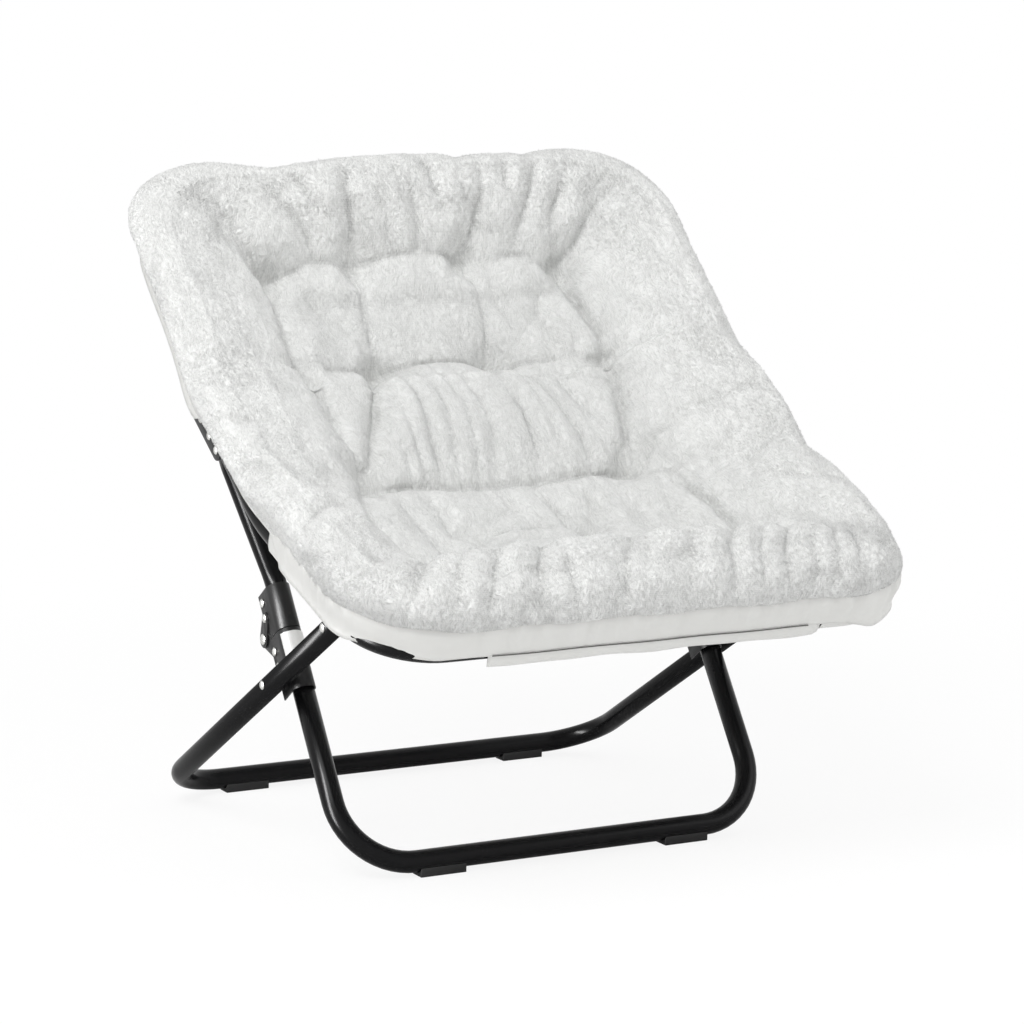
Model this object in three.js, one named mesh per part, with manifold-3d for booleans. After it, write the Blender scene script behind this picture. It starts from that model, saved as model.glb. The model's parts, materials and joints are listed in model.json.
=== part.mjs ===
// Folding saucer chair: two crossing U legs, folding risers, a hinged tube ring and padded halves.
// Millimetres, +Z up, chair faces -Y, origin on the floor under the middle of the chair.
import * as THREE from "three";
import { mergeVertices } from "three/addons/utils/BufferGeometryUtils.js";
import Module from "manifold-3d";

const wasm = await Module();
wasm.setup();

const deg = Math.PI / 180;

// Clearances and shared sheet
const seatGap = 0.3;
const runGap = 0.5;
const cutOverrun = 40;
const bracketSheet = 1.6;

// Leg tubes
const legRadius = 12.5;
const legWall = 1.5;
const legSides = 12;
const footBase = 4;
const barHeight = legRadius + footBase;
const bendSteps = 6;

// Front leg
const frontHalfWidth = 265;
const frontAngle = 55.6 * deg;
const frontTopAlong = 289;
const frontCornerRadius = 80;

// Rear leg
const crossGap = 4;
const rearHalfWidth = frontHalfWidth + 2 * legRadius + crossGap;
const rearBarY = 474.7;
const rearAngle = 29 * deg;
const rearCornerRadius = 70;
const crossAlong = 380.5;
const seatPivotAlong = 571.4;
const rearTopOverhang = 17;

// Knuckle, in the front leg's own axes
const knuckleAlong = 297;
const knuckleBehind = 35.4;
const buttGap = 1;

// Seat ring and back ring, side view
const ringRadius = 11;
const ringWall = 1.4;
const ringSides = 12;
const ringOutset = 32;
const ringHalfWidth = rearHalfWidth + ringOutset;
const ringCornerRadius = 80;
const ringFrontY = -200;
const ringFrontHeight = 291.5;
const seatRise = 19.3 * deg;
const seatRun = 312;
const kickRise = 36 * deg;
const kickRun = 170;
const kickBendRadius = 220;
const backRise = 45 * deg;
const backRun = 322;
const backTopRadius = 90;

// Riser tube
const riserSleeveRun = 66;
const riserBendRadius = 60;
const riserTopInset = 18;
const riserTopX = ringHalfWidth - riserTopInset;
const riserTopBehindHinge = 26;
const riserTopBelowHinge = 20;
const riserBladeThickness = 8;
const riserBladeRadius = 14;
const riserBladeLength = 34;

// Fasteners
const pinRadius = 3.5;
const rivetRadius = 2.5;
const rivetHeadRadius = 5;
const pinHeadRadius = 6.5;
const headHeight = 2.4;
const rivetSides = 8;

// Cushions
const rimOverhang = 28;
const rimHalfHeight = 34;
const rimCentre = 43;
const foldRange = 83 * deg;

// Plane helpers: a side-view point is [y, z]
const plus = (a, b) => [a[0] + b[0], a[1] + b[1]];
const along = (angle, length) => [Math.cos(angle) * length, Math.sin(angle) * length];
const step = (point, angle, length) => plus(point, along(angle, length));
const at = (x, point) => new THREE.Vector3(x, point[0], point[1]);
const quarter = Math.PI / 2;

const frontFoot = [0, barHeight];
const rearFoot = [rearBarY, barHeight];
const onFront = (run, behind) => step(step(frontFoot, frontAngle, run), frontAngle - quarter, behind);
const onRear = (run) => step(rearFoot, Math.PI - rearAngle, run);
const crossPoint = onRear(crossAlong);
const seatPivot = onRear(seatPivotAlong);
const knucklePivot = onFront(knuckleAlong, knuckleBehind);
const ringFront = [ringFrontY, ringFrontHeight];
const kickPoint = step(ringFront, seatRise, seatRun);
const hingePoint = step(kickPoint, kickRise, kickRun);
const backTop = step(hingePoint, backRise, backRun);
const riserTop = plus(hingePoint, [riserTopBehindHinge, -riserTopBelowHinge]);

// A path with rounded corners, given as stations of point and tangent
class BentPath extends THREE.Curve {
  constructor(points, radii) {
    super();
    this.stations = [];
    const add = (point, tangent) => this.stations.push({ point, tangent });
    const unit = (from, to) => to.clone().sub(from).normalize();
    add(points[0], unit(points[0], points[1]));
    for (let i = 1; i < points.length - 1; i += 1) {
      const inward = unit(points[i - 1], points[i]);
      const outward = unit(points[i], points[i + 1]);
      const turn = inward.angleTo(outward);
      const reach = radii[i - 1] * Math.tan(turn / 2);
      const side = outward.clone().addScaledVector(inward, -Math.cos(turn)).normalize();
      const start = points[i].clone().addScaledVector(inward, -reach);
      for (let k = 0; k <= bendSteps; k += 1) {
        const bend = (turn * k) / bendSteps;
        const point = start.clone().addScaledVector(inward, radii[i - 1] * Math.sin(bend));
        point.addScaledVector(side, radii[i - 1] * (1 - Math.cos(bend)));
        const tangent = inward.clone().multiplyScalar(Math.cos(bend)).addScaledVector(side, Math.sin(bend));
        add(point, tangent);
      }
    }
    const last = points.length - 1;
    add(points[last], unit(points[last - 1], points[last]));
  }
  get steps() { return this.stations.length - 1; }
  station(u) { return this.stations[Math.round(u * this.steps)]; }
  getPoint(u, target = new THREE.Vector3()) { return target.copy(this.station(u).point); }
  getPointAt(u, target) { return this.getPoint(u, target); }
  getTangentAt(u, target = new THREE.Vector3()) { return target.copy(this.station(u).tangent); }
  getSpacedPoints() { return this.stations.map((station) => station.point.clone()); }
}

function tubeGeometry(points, radii, radius, wall, sides) {
  const path = new BentPath(points, radii);
  const section = new THREE.Shape().absarc(0, 0, radius, 0, Math.PI * 2);
  const bore = new THREE.Path().absarc(0, 0, radius - wall, 0, Math.PI * 2, true);
  section.holes.push(bore);
  return new THREE.ExtrudeGeometry(section, { steps: path.steps, extrudePath: path, curveSegments: sides / 2 });
}

// Solid helpers
function toSolid(geometry) {
  const bare = geometry.clone();
  bare.deleteAttribute("normal");
  bare.deleteAttribute("uv");
  const merged = mergeVertices(bare, 1e-4);
  const triVerts = Uint32Array.from(merged.index.array);
  const vertProperties = Float32Array.from(merged.attributes.position.array);
  return new wasm.Manifold(new wasm.Mesh({ numProp: 3, vertProperties, triVerts }));
}

function toGeometry(solid) {
  const mesh = solid.getMesh();
  const geometry = new THREE.BufferGeometry();
  geometry.setAttribute("position", new THREE.BufferAttribute(Float32Array.from(mesh.vertProperties), 3));
  geometry.setIndex(new THREE.BufferAttribute(Uint32Array.from(mesh.triVerts), 1));
  const flat = geometry.toNonIndexed();
  flat.computeVertexNormals();
  return flat;
}

const union = (solids) => solids.reduce((total, solid) => total.add(solid));
const cutAll = (solid, tools) => tools.reduce((total, tool) => total.subtract(tool), solid);

// A round bar along X at a side-view point, from x0 to x1
function barAcross(point, radius, x0, x1, sides = rivetSides) {
  const geometry = new THREE.CylinderGeometry(radius, radius, Math.abs(x1 - x0), sides);
  geometry.rotateZ(quarter);
  geometry.translate((x0 + x1) / 2, point[0], point[1]);
  return geometry;
}

// A rivet or pin along X: a shank with a domed head at each end that is asked for
function rivetGeometry(point, shank, head, x0, x1, headAtStart, headAtEnd) {
  const crown = head * 0.62;
  const profile = [new THREE.Vector2(0, x0 - (headAtStart ? headHeight : 0))];
  if (headAtStart) {
    profile.push(new THREE.Vector2(crown, x0 - headHeight));
    profile.push(new THREE.Vector2(head, x0));
  }
  profile.push(new THREE.Vector2(shank, x0));
  profile.push(new THREE.Vector2(shank, x1));
  if (headAtEnd) {
    profile.push(new THREE.Vector2(head, x1));
    profile.push(new THREE.Vector2(crown, x1 + headHeight));
  }
  profile.push(new THREE.Vector2(0, x1 + (headAtEnd ? headHeight : 0)));
  const geometry = new THREE.LatheGeometry(profile, rivetSides);
  geometry.rotateZ(-quarter);
  geometry.translate(0, point[0], point[1]);
  return geometry;
}

// A flat plate in a side-view outline, between x0 and x1
function plateGeometry(outline, x0, x1, curveSegments = 4) {
  const geometry = new THREE.ExtrudeGeometry(outline, { depth: x1 - x0, bevelEnabled: false, curveSegments });
  geometry.applyMatrix4(new THREE.Matrix4().set(0, 0, 1, x0, 1, 0, 0, 0, 0, 1, 0, 0, 0, 0, 0, 1));
  return geometry;
}

// The outline round a row of discs, each tangent to the next
function strapShape(discs) {
  const shape = new THREE.Shape();
  const count = discs.length;
  const tangentAngle = (a, b) => {
    const dy = b.c[0] - a.c[0];
    const dz = b.c[1] - a.c[1];
    return Math.atan2(dz, dy) - Math.acos((a.r - b.r) / Math.hypot(dy, dz));
  };
  for (let i = 0; i < count; i += 1) {
    const disc = discs[i];
    const from = tangentAngle(discs[(i + count - 1) % count], disc);
    let to = tangentAngle(disc, discs[(i + 1) % count]);
    while (to < from) to += Math.PI * 2;
    shape.absarc(disc.c[0], disc.c[1], disc.r, from, to, false);
  }
  return shape;
}

const chair = new THREE.Group();
chair.name = "folding_saucer_chair";

const blackSteel = { color: 0x17181a, roughness: 0.32, metalness: 0.5 };
const blackSheet = { color: 0x1b1c1e, roughness: 0.42, metalness: 0.5 };
const zincSteel = { color: 0xc9cac8, roughness: 0.35, metalness: 0.9 };
const blackPlastic = { color: 0x121213, roughness: 0.6, metalness: 0 };
const whiteFilm = { color: 0xe9e9e6, roughness: 0.5, metalness: 0 };
const whitePlush = { color: 0xefeeeb, roughness: 0.95, metalness: 0 };

function addPart(name, geometry, finish) {
  const mesh = new THREE.Mesh(geometry, new THREE.MeshStandardMaterial(finish));
  mesh.name = name;
  chair.add(mesh);
  return mesh;
}

const sides = [{ name: "left", sign: -1 }, { name: "right", sign: 1 }];
const mirrored = (geometry, sign) => {
  if (sign > 0) return geometry;
  const flipped = toSolid(geometry).mirror([1, 0, 0]);
  return toGeometry(flipped);
};

// Front leg: a U tube that stands on its own cross bar
{
  const top = onFront(frontTopAlong, 0);
  const points = [at(-frontHalfWidth, top), at(-frontHalfWidth, frontFoot)];
  points.push(at(frontHalfWidth, frontFoot), at(frontHalfWidth, top));
  const radii = [frontCornerRadius, frontCornerRadius];
  addPart("front_leg_frame", tubeGeometry(points, radii, legRadius, legWall, legSides), blackSteel);
}

// Rear leg: a wider U tube, drilled for the crossing pivot and the seat pivot
{
  const top = onRear(seatPivotAlong + rearTopOverhang);
  const points = [at(-rearHalfWidth, top), at(-rearHalfWidth, rearFoot)];
  points.push(at(rearHalfWidth, rearFoot), at(rearHalfWidth, top));
  const radii = [rearCornerRadius, rearCornerRadius];
  const tube = toSolid(tubeGeometry(points, radii, legRadius, legWall, legSides));
  const drill = pinRadius + seatGap;
  const reach = rearHalfWidth + cutOverrun;
  const inner = rearHalfWidth - cutOverrun;
  const holes = [];
  for (const { sign } of sides) {
    holes.push(toSolid(barAcross(crossPoint, drill, sign * inner, sign * reach)));
    holes.push(toSolid(barAcross(seatPivot, drill, sign * inner, sign * reach)));
  }
  addPart("rear_leg_frame", toGeometry(cutAll(tube, holes)), blackSteel);
}

// Plugs in the rear leg's open ends
const plugHead = 3;
const plugDepth = 12;
for (const { name, sign } of sides) {
  const profile = [[0, -plugDepth], [legRadius - legWall - seatGap, -plugDepth]];
  profile.push([legRadius - legWall - seatGap, seatGap], [legRadius, seatGap]);
  profile.push([legRadius, plugHead * 0.6], [legRadius * 0.7, plugHead], [0, plugHead]);
  const plug = new THREE.LatheGeometry(profile.map(([r, h]) => new THREE.Vector2(r, h)), legSides);
  plug.rotateX(Math.PI - rearAngle);
  const end = onRear(seatPivotAlong + rearTopOverhang);
  plug.translate(sign * rearHalfWidth, end[0], end[1]);
  addPart(`rear_leg_plug_${name}`, plug, blackPlastic);
}

// Feet: shoes clipped under each cross bar
const footLength = 56;
const footHalfDepth = 11;
const footWrap = 0.45;
const footPlaceShare = { front: 0.588, rear: 0.65 };
function footGeometry(centreX, centre) {
  const inner = legRadius + seatGap;
  const outline = new THREE.Shape();
  const rise = inner * footWrap;
  const halfChord = Math.sqrt(inner * inner - rise * rise);
  outline.moveTo(-footHalfDepth, -barHeight);
  outline.lineTo(footHalfDepth, -barHeight);
  outline.lineTo(halfChord, -rise);
  outline.absarc(0, 0, inner, Math.atan2(-rise, halfChord), Math.atan2(-rise, -halfChord), true);
  outline.closePath();
  const foot = plateGeometry(outline, centreX - footLength / 2, centreX + footLength / 2, 6);
  foot.translate(0, centre[0], centre[1]);
  return foot;
}
for (const { name, sign } of sides) {
  const frontX = sign * frontHalfWidth * footPlaceShare.front;
  const rearX = sign * rearHalfWidth * footPlaceShare.rear;
  addPart(`front_foot_${name}`, footGeometry(frontX, frontFoot), blackPlastic);
  addPart(`rear_foot_${name}`, footGeometry(rearX, rearFoot), blackPlastic);
}

// Knuckle brackets: sheet wrapped round the tube, with two flanges behind it
const wrapInner = legRadius + seatGap;
const wrapOuter = wrapInner + bracketSheet;
const earInner = wrapOuter + seatGap;
const earOuter = earInner + bracketSheet;
const flangeBehind = 17.5;
const flangeEdge = 7.5;
const lowerBracketFoot = 216;
const lowerRivetAlong = [273, 254];
const upperRivetAlong = [315, 334];
const upperBracketTop = 345;
const crossBossRadius = 11;
const earRadius = 10;
const spacerThickness = 1.5;

// Turns a section drawn in X and Y so that it runs up the front leg, its +Y ahead of the tube
function standOnFrontLeg(geometry, run, x) {
  const [forwardY, forwardZ] = along(frontAngle + quarter, 1);
  const [upY, upZ] = along(frontAngle, 1);
  const [y, z] = onFront(run, 0);
  const turn = new THREE.Matrix4();
  turn.set(-1, 0, 0, x, 0, forwardY, upY, y, 0, forwardZ, upZ, z, 0, 0, 0, 1);
  return geometry.applyMatrix4(turn);
}

// The wrapped section, swept along the front leg's axis between two heights
function wrapGeometry(from, to, inner, outer) {
  const reach = knuckleBehind + cutOverrun;
  const section = new THREE.Shape();
  section.moveTo(outer, -reach);
  section.absarc(0, 0, outer, 0, Math.PI, false);
  section.lineTo(-outer, -reach);
  section.lineTo(-inner, -reach);
  section.absarc(0, 0, inner, Math.PI, 0, true);
  section.lineTo(inner, -reach);
  section.closePath();
  const wrap = new THREE.ExtrudeGeometry(section, { depth: to - from, bevelEnabled: false, curveSegments: 6 });
  return standOnFrontLeg(wrap, from, 0);
}

const sleeveOutline = (low, high) => {
  const outline = new THREE.Shape();
  const corners = [[low, -legRadius * 2], [low, flangeBehind + flangeEdge]];
  corners.push([high, flangeBehind + flangeEdge], [high, -legRadius * 2]);
  corners.forEach(([run, behind], i) => {
    const [y, z] = onFront(run, behind);
    if (i === 0) outline.moveTo(y, z);
    else outline.lineTo(y, z);
  });
  outline.closePath();
  return outline;
};

const knuckleDisc = { c: knucklePivot, r: earRadius };
const holeAcross = (point, radius) => {
  const reach = frontHalfWidth + cutOverrun;
  return toSolid(barAcross(point, radius, frontHalfWidth - cutOverrun, reach));
};

function lowerBracket() {
  const high = frontTopAlong;
  const wrap = toSolid(wrapGeometry(lowerBracketFoot, high, wrapInner, wrapOuter));
  const ear = strapShape([knuckleDisc, { c: onFront(lowerRivetAlong[0], flangeBehind), r: flangeEdge }]);
  const boss = strapShape([{ c: crossPoint, r: crossBossRadius }, { c: onFront(lowerRivetAlong[1], flangeBehind), r: flangeEdge }]);
  const trim = [toSolid(plateGeometry(sleeveOutline(lowerBracketFoot, high), -wrapOuter, wrapOuter))];
  trim.push(toSolid(plateGeometry(ear, -wrapOuter, wrapOuter)));
  trim.push(toSolid(plateGeometry(boss, -wrapOuter, wrapOuter)));
  const tall = toSolid(wrapGeometry(lowerBracketFoot - cutOverrun, high + cutOverrun, wrapInner, wrapOuter));
  const flanges = tall.intersect(union(trim.slice(1)));
  const body = wrap.intersect(trim[0]).add(flanges);
  return body;
}

function upperBracket() {
  const low = frontTopAlong + buttGap;
  const wrap = toSolid(wrapGeometry(low, upperBracketTop, wrapInner, wrapOuter));
  const sleeve = wrap.intersect(toSolid(plateGeometry(sleeveOutline(low, upperBracketTop), -wrapOuter, wrapOuter)));
  const flangeDisc = { c: onFront(upperRivetAlong[0], flangeBehind), r: flangeEdge };
  const ear = strapShape([knuckleDisc, flangeDisc]);
  const plates = [];
  for (const side of [-1, 1]) {
    const faces = [side * wrapInner, side * earOuter].sort((a, b) => a - b);
    plates.push(toSolid(plateGeometry(ear, faces[0], faces[1])));
  }
  const room = strapShape([
    { c: knucklePivot, r: earRadius + runGap + bracketSheet },
    { c: onFront(lowerRivetAlong[0], flangeBehind), r: flangeEdge + runGap + bracketSheet },
  ]);
  const nested = toSolid(plateGeometry(room, -earInner, earInner));
  const lowSide = sleeveOutline(lowerBracketFoot - cutOverrun, low);
  const under = toSolid(plateGeometry(lowSide, -earInner, earInner));
  return union([sleeve, ...plates]).subtract(nested).subtract(under);
}

const shiftX = (solid, x) => solid.translate([x, 0, 0]);
const knuckleHole = holeAcross(knucklePivot, pinRadius + seatGap);
const crossHole = holeAcross(crossPoint, pinRadius + seatGap);
const rivetHoles = (runs) => runs.map((run) => holeAcross(onFront(run, flangeBehind), rivetRadius + seatGap));

const lowerShape = cutAll(shiftX(lowerBracket(), frontHalfWidth), [knuckleHole, crossHole, ...rivetHoles(lowerRivetAlong)]);
const upperShape = cutAll(shiftX(upperBracket(), frontHalfWidth), [knuckleHole, ...rivetHoles(upperRivetAlong)]);

for (const { name, sign } of sides) {
  const place = (solid) => toGeometry(sign > 0 ? solid : solid.mirror([1, 0, 0]));
  addPart(`lower_knuckle_${name}`, place(lowerShape), blackSheet);
  addPart(`upper_knuckle_${name}`, place(upperShape), blackSheet);
  [...lowerRivetAlong, ...upperRivetAlong].forEach((run, i) => {
    const centre = onFront(run, flangeBehind);
    const reach = (i === lowerRivetAlong.length ? earOuter : wrapOuter) + seatGap;
    const [back, face] = [frontHalfWidth - reach, frontHalfWidth + reach];
    const rivet = rivetGeometry(centre, rivetRadius, rivetHeadRadius, back, face, true, true);
    const row = i < lowerRivetAlong.length ? "lower" : "upper";
    addPart(`${row}_rivet_${i % lowerRivetAlong.length + 1}_${name}`, mirrored(rivet, sign), zincSteel);
  });
  const pinFace = frontHalfWidth + earOuter + seatGap;
  const pinBack = frontHalfWidth - earOuter - seatGap;
  const pin = rivetGeometry(knucklePivot, pinRadius, pinHeadRadius, pinBack, pinFace, true, true);
  addPart(`knuckle_pin_${name}`, mirrored(pin, sign), zincSteel);
  const crossInner = frontHalfWidth + wrapInner - seatGap;
  const crossOuter = rearHalfWidth + legRadius + seatGap;
  const cross = rivetGeometry(crossPoint, pinRadius, pinHeadRadius * 0.8, crossInner, crossOuter, true, true);
  addPart(`cross_rivet_${name}`, mirrored(cross, sign), zincSteel);
  const spacerStart = frontHalfWidth + wrapOuter + seatGap;
  const spacer = toSolid(barAcross(crossPoint, pinHeadRadius, spacerStart, rearHalfWidth - legRadius - seatGap));
  addPart(`cross_spacer_${name}`, place(spacer.subtract(crossHole)), blackPlastic);
}

// Plain band wrapped on the left lower bracket, blank
const bandLow = 246;
const bandHigh = 284;
const bandFilm = 0.5;
{
  const inner = wrapOuter + seatGap;
  const band = new THREE.Shape();
  const sweep = 0.72 * Math.PI;
  band.absarc(0, 0, inner + bandFilm, quarter - sweep / 2, quarter + sweep / 2, false);
  band.absarc(0, 0, inner, quarter + sweep / 2, quarter - sweep / 2, true);
  band.closePath();
  const wrap = new THREE.ExtrudeGeometry(band, { depth: bandHigh - bandLow, bevelEnabled: false, curveSegments: 6 });
  addPart("plain_band", standOnFrontLeg(wrap, bandLow, -frontHalfWidth), whiteFilm);
}

// Riser: a bent tube from the knuckle to the ring hinge, its top pressed to a blade
const riserFoot = onFront(frontTopAlong + buttGap, 0);
const riserBend = onFront(frontTopAlong + buttGap + riserSleeveRun, 0);
const riserDrop = new THREE.Vector3().subVectors(at(frontHalfWidth, riserBend), at(riserTopX, riserTop)).normalize();
const bladeFoot = at(riserTopX, riserTop).addScaledVector(riserDrop, riserBladeLength);
function riserSolid() {
  const points = [at(frontHalfWidth, riserFoot), at(frontHalfWidth, riserBend), bladeFoot];
  const tube = toSolid(tubeGeometry(points, [riserBendRadius], legRadius, legWall, legSides));
  const innerX = riserTopX - riserBladeThickness / 2;
  const outerX = riserTopX + riserBladeThickness / 2;
  const neck = { c: [bladeFoot.y, bladeFoot.z], r: legRadius };
  const blade = toSolid(plateGeometry(strapShape([{ c: riserTop, r: riserBladeRadius }, neck]), innerX, outerX));
  const cap = new THREE.CylinderGeometry(legRadius * 0.7, legRadius, legRadius, legSides);
  cap.applyQuaternion(new THREE.Quaternion().setFromUnitVectors(new THREE.Vector3(0, -1, 0), riserDrop));
  cap.translate(bladeFoot.x, bladeFoot.y, bladeFoot.z);
  const hole = barAcross(riserTop, pinRadius + seatGap, innerX - cutOverrun, outerX + cutOverrun);
  return union([tube, toSolid(cap), blade]).subtract(toSolid(hole));
}
const riserShape = riserSolid();

// Ring hinge: two plates each side that clamp the seat ring and carry the back ring and the riser
const hingeSheet = 2.2;
const hingeEdge = 12;
const clampRun = [-30, -54];
const stopRun = 30;
const stopRadius = 3;
const stopPoint = step(step(hingePoint, backRise, stopRun), backRise - quarter, ringRadius + stopRadius + seatGap);
const clampPoints = clampRun.map((run) => step(hingePoint, kickRise, run));
const lobeRadius = 9;
const clampDiscs = (grow) => [
  { c: clampPoints[1], r: hingeEdge + grow },
  { c: stopPoint, r: stopRadius * 2.2 + grow },
  { c: hingePoint, r: hingeEdge * 1.1 + grow },
];
function hingePlate(innerX, withRiser) {
  const slab = (discs) => toSolid(plateGeometry(strapShape(discs), innerX, innerX + hingeSheet));
  let plate = slab(clampDiscs(0));
  if (withRiser) {
    plate = plate.add(slab([{ c: hingePoint, r: hingeEdge * 1.1 }, { c: riserTop, r: lobeRadius }]));
    const tail = rivetGeometry(riserTop, pinRadius, rivetHeadRadius, innerX, innerX + hingeSheet, false, true);
    plate = plate.add(toSolid(tail));
  }
  const drill = (point, radius) => toSolid(barAcross(point, radius, innerX - cutOverrun, innerX + cutOverrun));
  const holes = [drill(hingePoint, pinRadius + seatGap), drill(stopPoint, stopRadius + seatGap)];
  for (const point of clampPoints) holes.push(drill(point, rivetRadius + seatGap));
  return cutAll(plate, holes);
}
const plateInnerX = ringHalfWidth - ringRadius - seatGap - hingeSheet;
const plateOuterX = ringHalfWidth + ringRadius + seatGap;
const hingeInner = hingePlate(plateInnerX, true);
const hingeOuter = hingePlate(plateOuterX, false);

// Ring tubes
const seatEndGap = 18;
const ringHoles = (points, radius) => points.flatMap((point) => sides.map(({ sign }) => toSolid(barAcross(
  point, radius, sign * (ringHalfWidth - cutOverrun), sign * (ringHalfWidth + cutOverrun),
))));
const seatRingEnd = step(hingePoint, kickRise, -seatEndGap);
const seatRingPoints = [at(-ringHalfWidth, seatRingEnd), at(-ringHalfWidth, kickPoint)];
seatRingPoints.push(at(-ringHalfWidth, ringFront), at(ringHalfWidth, ringFront));
seatRingPoints.push(at(ringHalfWidth, kickPoint), at(ringHalfWidth, seatRingEnd));
const seatRingRadii = [kickBendRadius, ringCornerRadius, ringCornerRadius, kickBendRadius];
const backRingEnd = step(hingePoint, backRise, -ringRadius);
const backRingPoints = [at(-ringHalfWidth, backRingEnd), at(-ringHalfWidth, backTop)];
backRingPoints.push(at(ringHalfWidth, backTop), at(ringHalfWidth, backRingEnd));
const backRingRadii = [backTopRadius, backTopRadius];
{
  const tube = toSolid(tubeGeometry(seatRingPoints, seatRingRadii, ringRadius, ringWall, ringSides));
  const holes = ringHoles(clampPoints, rivetRadius + seatGap);
  addPart("seat_ring", toGeometry(cutAll(tube, holes)), blackSteel);
}
{
  const tube = toSolid(tubeGeometry(backRingPoints, backRingRadii, ringRadius, ringWall, ringSides));
  addPart("back_ring", toGeometry(cutAll(tube, ringHoles([hingePoint], pinRadius + seatGap))), blackSteel);
}

// Seat bracket: a plate that hangs from the seat ring to the rear leg's pivot
const bracketThickness = 2.5;
const bracketHalfRun = 34;
const bracketEdge = 13;
function seatBracket() {
  const faceX = rearHalfWidth - legRadius - runGap;
  const lift = seatRise + quarter;
  const pivotRun = (seatPivot[0] - ringFront[0]) * Math.cos(seatRise) + (seatPivot[1] - ringFront[1]) * Math.sin(seatRise);
  const under = step(step(ringFront, seatRise, pivotRun), lift, -ringRadius - seatGap);
  const low = step(step(under, seatRise, -bracketHalfRun), lift, -bracketThickness);
  const high = step(step(under, seatRise, bracketHalfRun), lift, -bracketThickness);
  const web = new THREE.Shape();
  web.moveTo(...high);
  web.lineTo(...step(high, lift, bracketThickness));
  web.lineTo(...step(low, lift, bracketThickness));
  web.lineTo(...low);
  web.absarc(seatPivot[0], seatPivot[1], bracketEdge, Math.PI + seatRise, Math.PI * 2 + seatRise, false);
  web.closePath();
  const shelf = new THREE.Shape();
  [low, high, step(high, lift, bracketThickness), step(low, lift, bracketThickness)].forEach((corner, i) => {
    if (i === 0) shelf.moveTo(...corner);
    else shelf.lineTo(...corner);
  });
  shelf.closePath();
  const upright = toSolid(plateGeometry(web, faceX - bracketThickness, faceX));
  const top = toSolid(plateGeometry(shelf, faceX - bracketThickness, ringHalfWidth + ringRadius));
  const reach = faceX + cutOverrun;
  const hole = toSolid(barAcross(seatPivot, pinRadius + seatGap, faceX - cutOverrun, reach));
  return upright.add(top).subtract(hole);
}
const seatBracketShape = seatBracket();

for (const { name, sign } of sides) {
  const place = (solid) => toGeometry(sign > 0 ? solid : solid.mirror([1, 0, 0]));
  addPart(`riser_${name}`, place(riserShape), blackSteel);
  addPart(`hinge_plate_inner_${name}`, place(hingeInner), blackSheet);
  addPart(`hinge_plate_outer_${name}`, place(hingeOuter), blackSheet);
  addPart(`seat_bracket_${name}`, place(seatBracketShape), blackSheet);
  const seatPinStart = rearHalfWidth - legRadius - runGap - bracketThickness - seatGap;
  const seatPinEnd = rearHalfWidth + legRadius + seatGap;
  const seatPin = rivetGeometry(seatPivot, pinRadius, pinHeadRadius * 0.8, seatPinStart, seatPinEnd, true, true);
  addPart(`seat_rivet_${name}`, mirrored(seatPin, sign), zincSteel);
  const hingePin = rivetGeometry(
    hingePoint, pinRadius, pinHeadRadius * 0.9, plateInnerX - seatGap, plateOuterX + hingeSheet + seatGap, true, true,
  );
  addPart(`ring_pin_${name}`, mirrored(hingePin, sign), zincSteel);
  const stop = rivetGeometry(
    stopPoint, stopRadius, stopRadius * 1.7, plateInnerX, plateOuterX + hingeSheet + seatGap, false, true,
  );
  addPart(`ring_stop_${name}`, mirrored(stop, sign), zincSteel);
  const bladeFace = riserTopX + riserBladeThickness / 2;
  const stubStart = bladeFace - riserBladeThickness - seatGap;
  const stub = rivetGeometry(riserTop, pinRadius, pinHeadRadius * 0.8, stubStart, bladeFace, true, false);
  addPart(`riser_rivet_${name}`, mirrored(stub, sign), zincSteel);
  clampPoints.forEach((point, i) => {
    const clamp = rivetGeometry(
      point, rivetRadius, rivetHeadRadius, plateInnerX - seatGap, plateOuterX + hingeSheet + seatGap, true, true,
    );
    addPart(`clamp_rivet_${i + 1}_${name}`, mirrored(clamp, sign), zincSteel);
  });
}

// Cushion: one padded saucer laid along the ring, then split at the ring hinge
const bellyDepth = 76;
const bucketEdge = 200;
const tuftSpread = 36;
const bolsterPuff = 19;
const bolsterHalfShare = 0.52;
const bolsterRunShares = [0.465, 0.704];
const topBandRun = 300;
const topHaste = 1.25;
const fallStops = [[34, 77], [80, 60], [120, 34], [160, 10], [210, -12], [285, -26], [400, -30]];
const shoulderDrop = 12;
const shoulderEdge = 84;
const kinkReach = 60;
const marchStep = 2;
const outlineCornerRadius = ringCornerRadius + rimOverhang;
const ringRun = seatRun + kickRun + backRun;
const halfWide = ringHalfWidth + rimOverhang;
const halfLong = ringRun / 2 + rimOverhang;
const rimShares = [0, 0.0083, 0.033, 0.072, 0.111, 0.166];
const columnShares = [0, 0.117, 0.233, 0.368, 0.506, 0.62, 0.72, 0.828];
const rowShares = [
  0.075, 0.147, 0.219, 0.267, 0.316, 0.363, 0.414, 0.465, 0.503, 0.544,
  0.585, 0.628, 0.668, 0.704, 0.746, 0.786, 0.827, 0.868, 0.905, 0.935,
];
const seamReach = 28;
const seamLines = [
  { deep: 12, points: [[0, 0.871], [0.227, 0.868], [0.604, 0.85]] },
  { deep: 12, points: [[0.233, 0.704], [0.227, 0.868]] },
  { deep: 14, points: [[0, 0.709], [0.233, 0.704], [0.46, 0.697]] },
  { deep: 10, points: [[0.604, 0.85], [0.617, 0.657], [0.52, 0.46]] },
  { deep: 20, points: [[0, 0.465], [0.52, 0.46]] },
  { deep: 9, points: [[0.52, 0.46], [0.63, 0.31], [0.623, 0.228]] },
  { deep: 6, points: [[0, 0.219], [0.623, 0.228]] },
];
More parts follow.
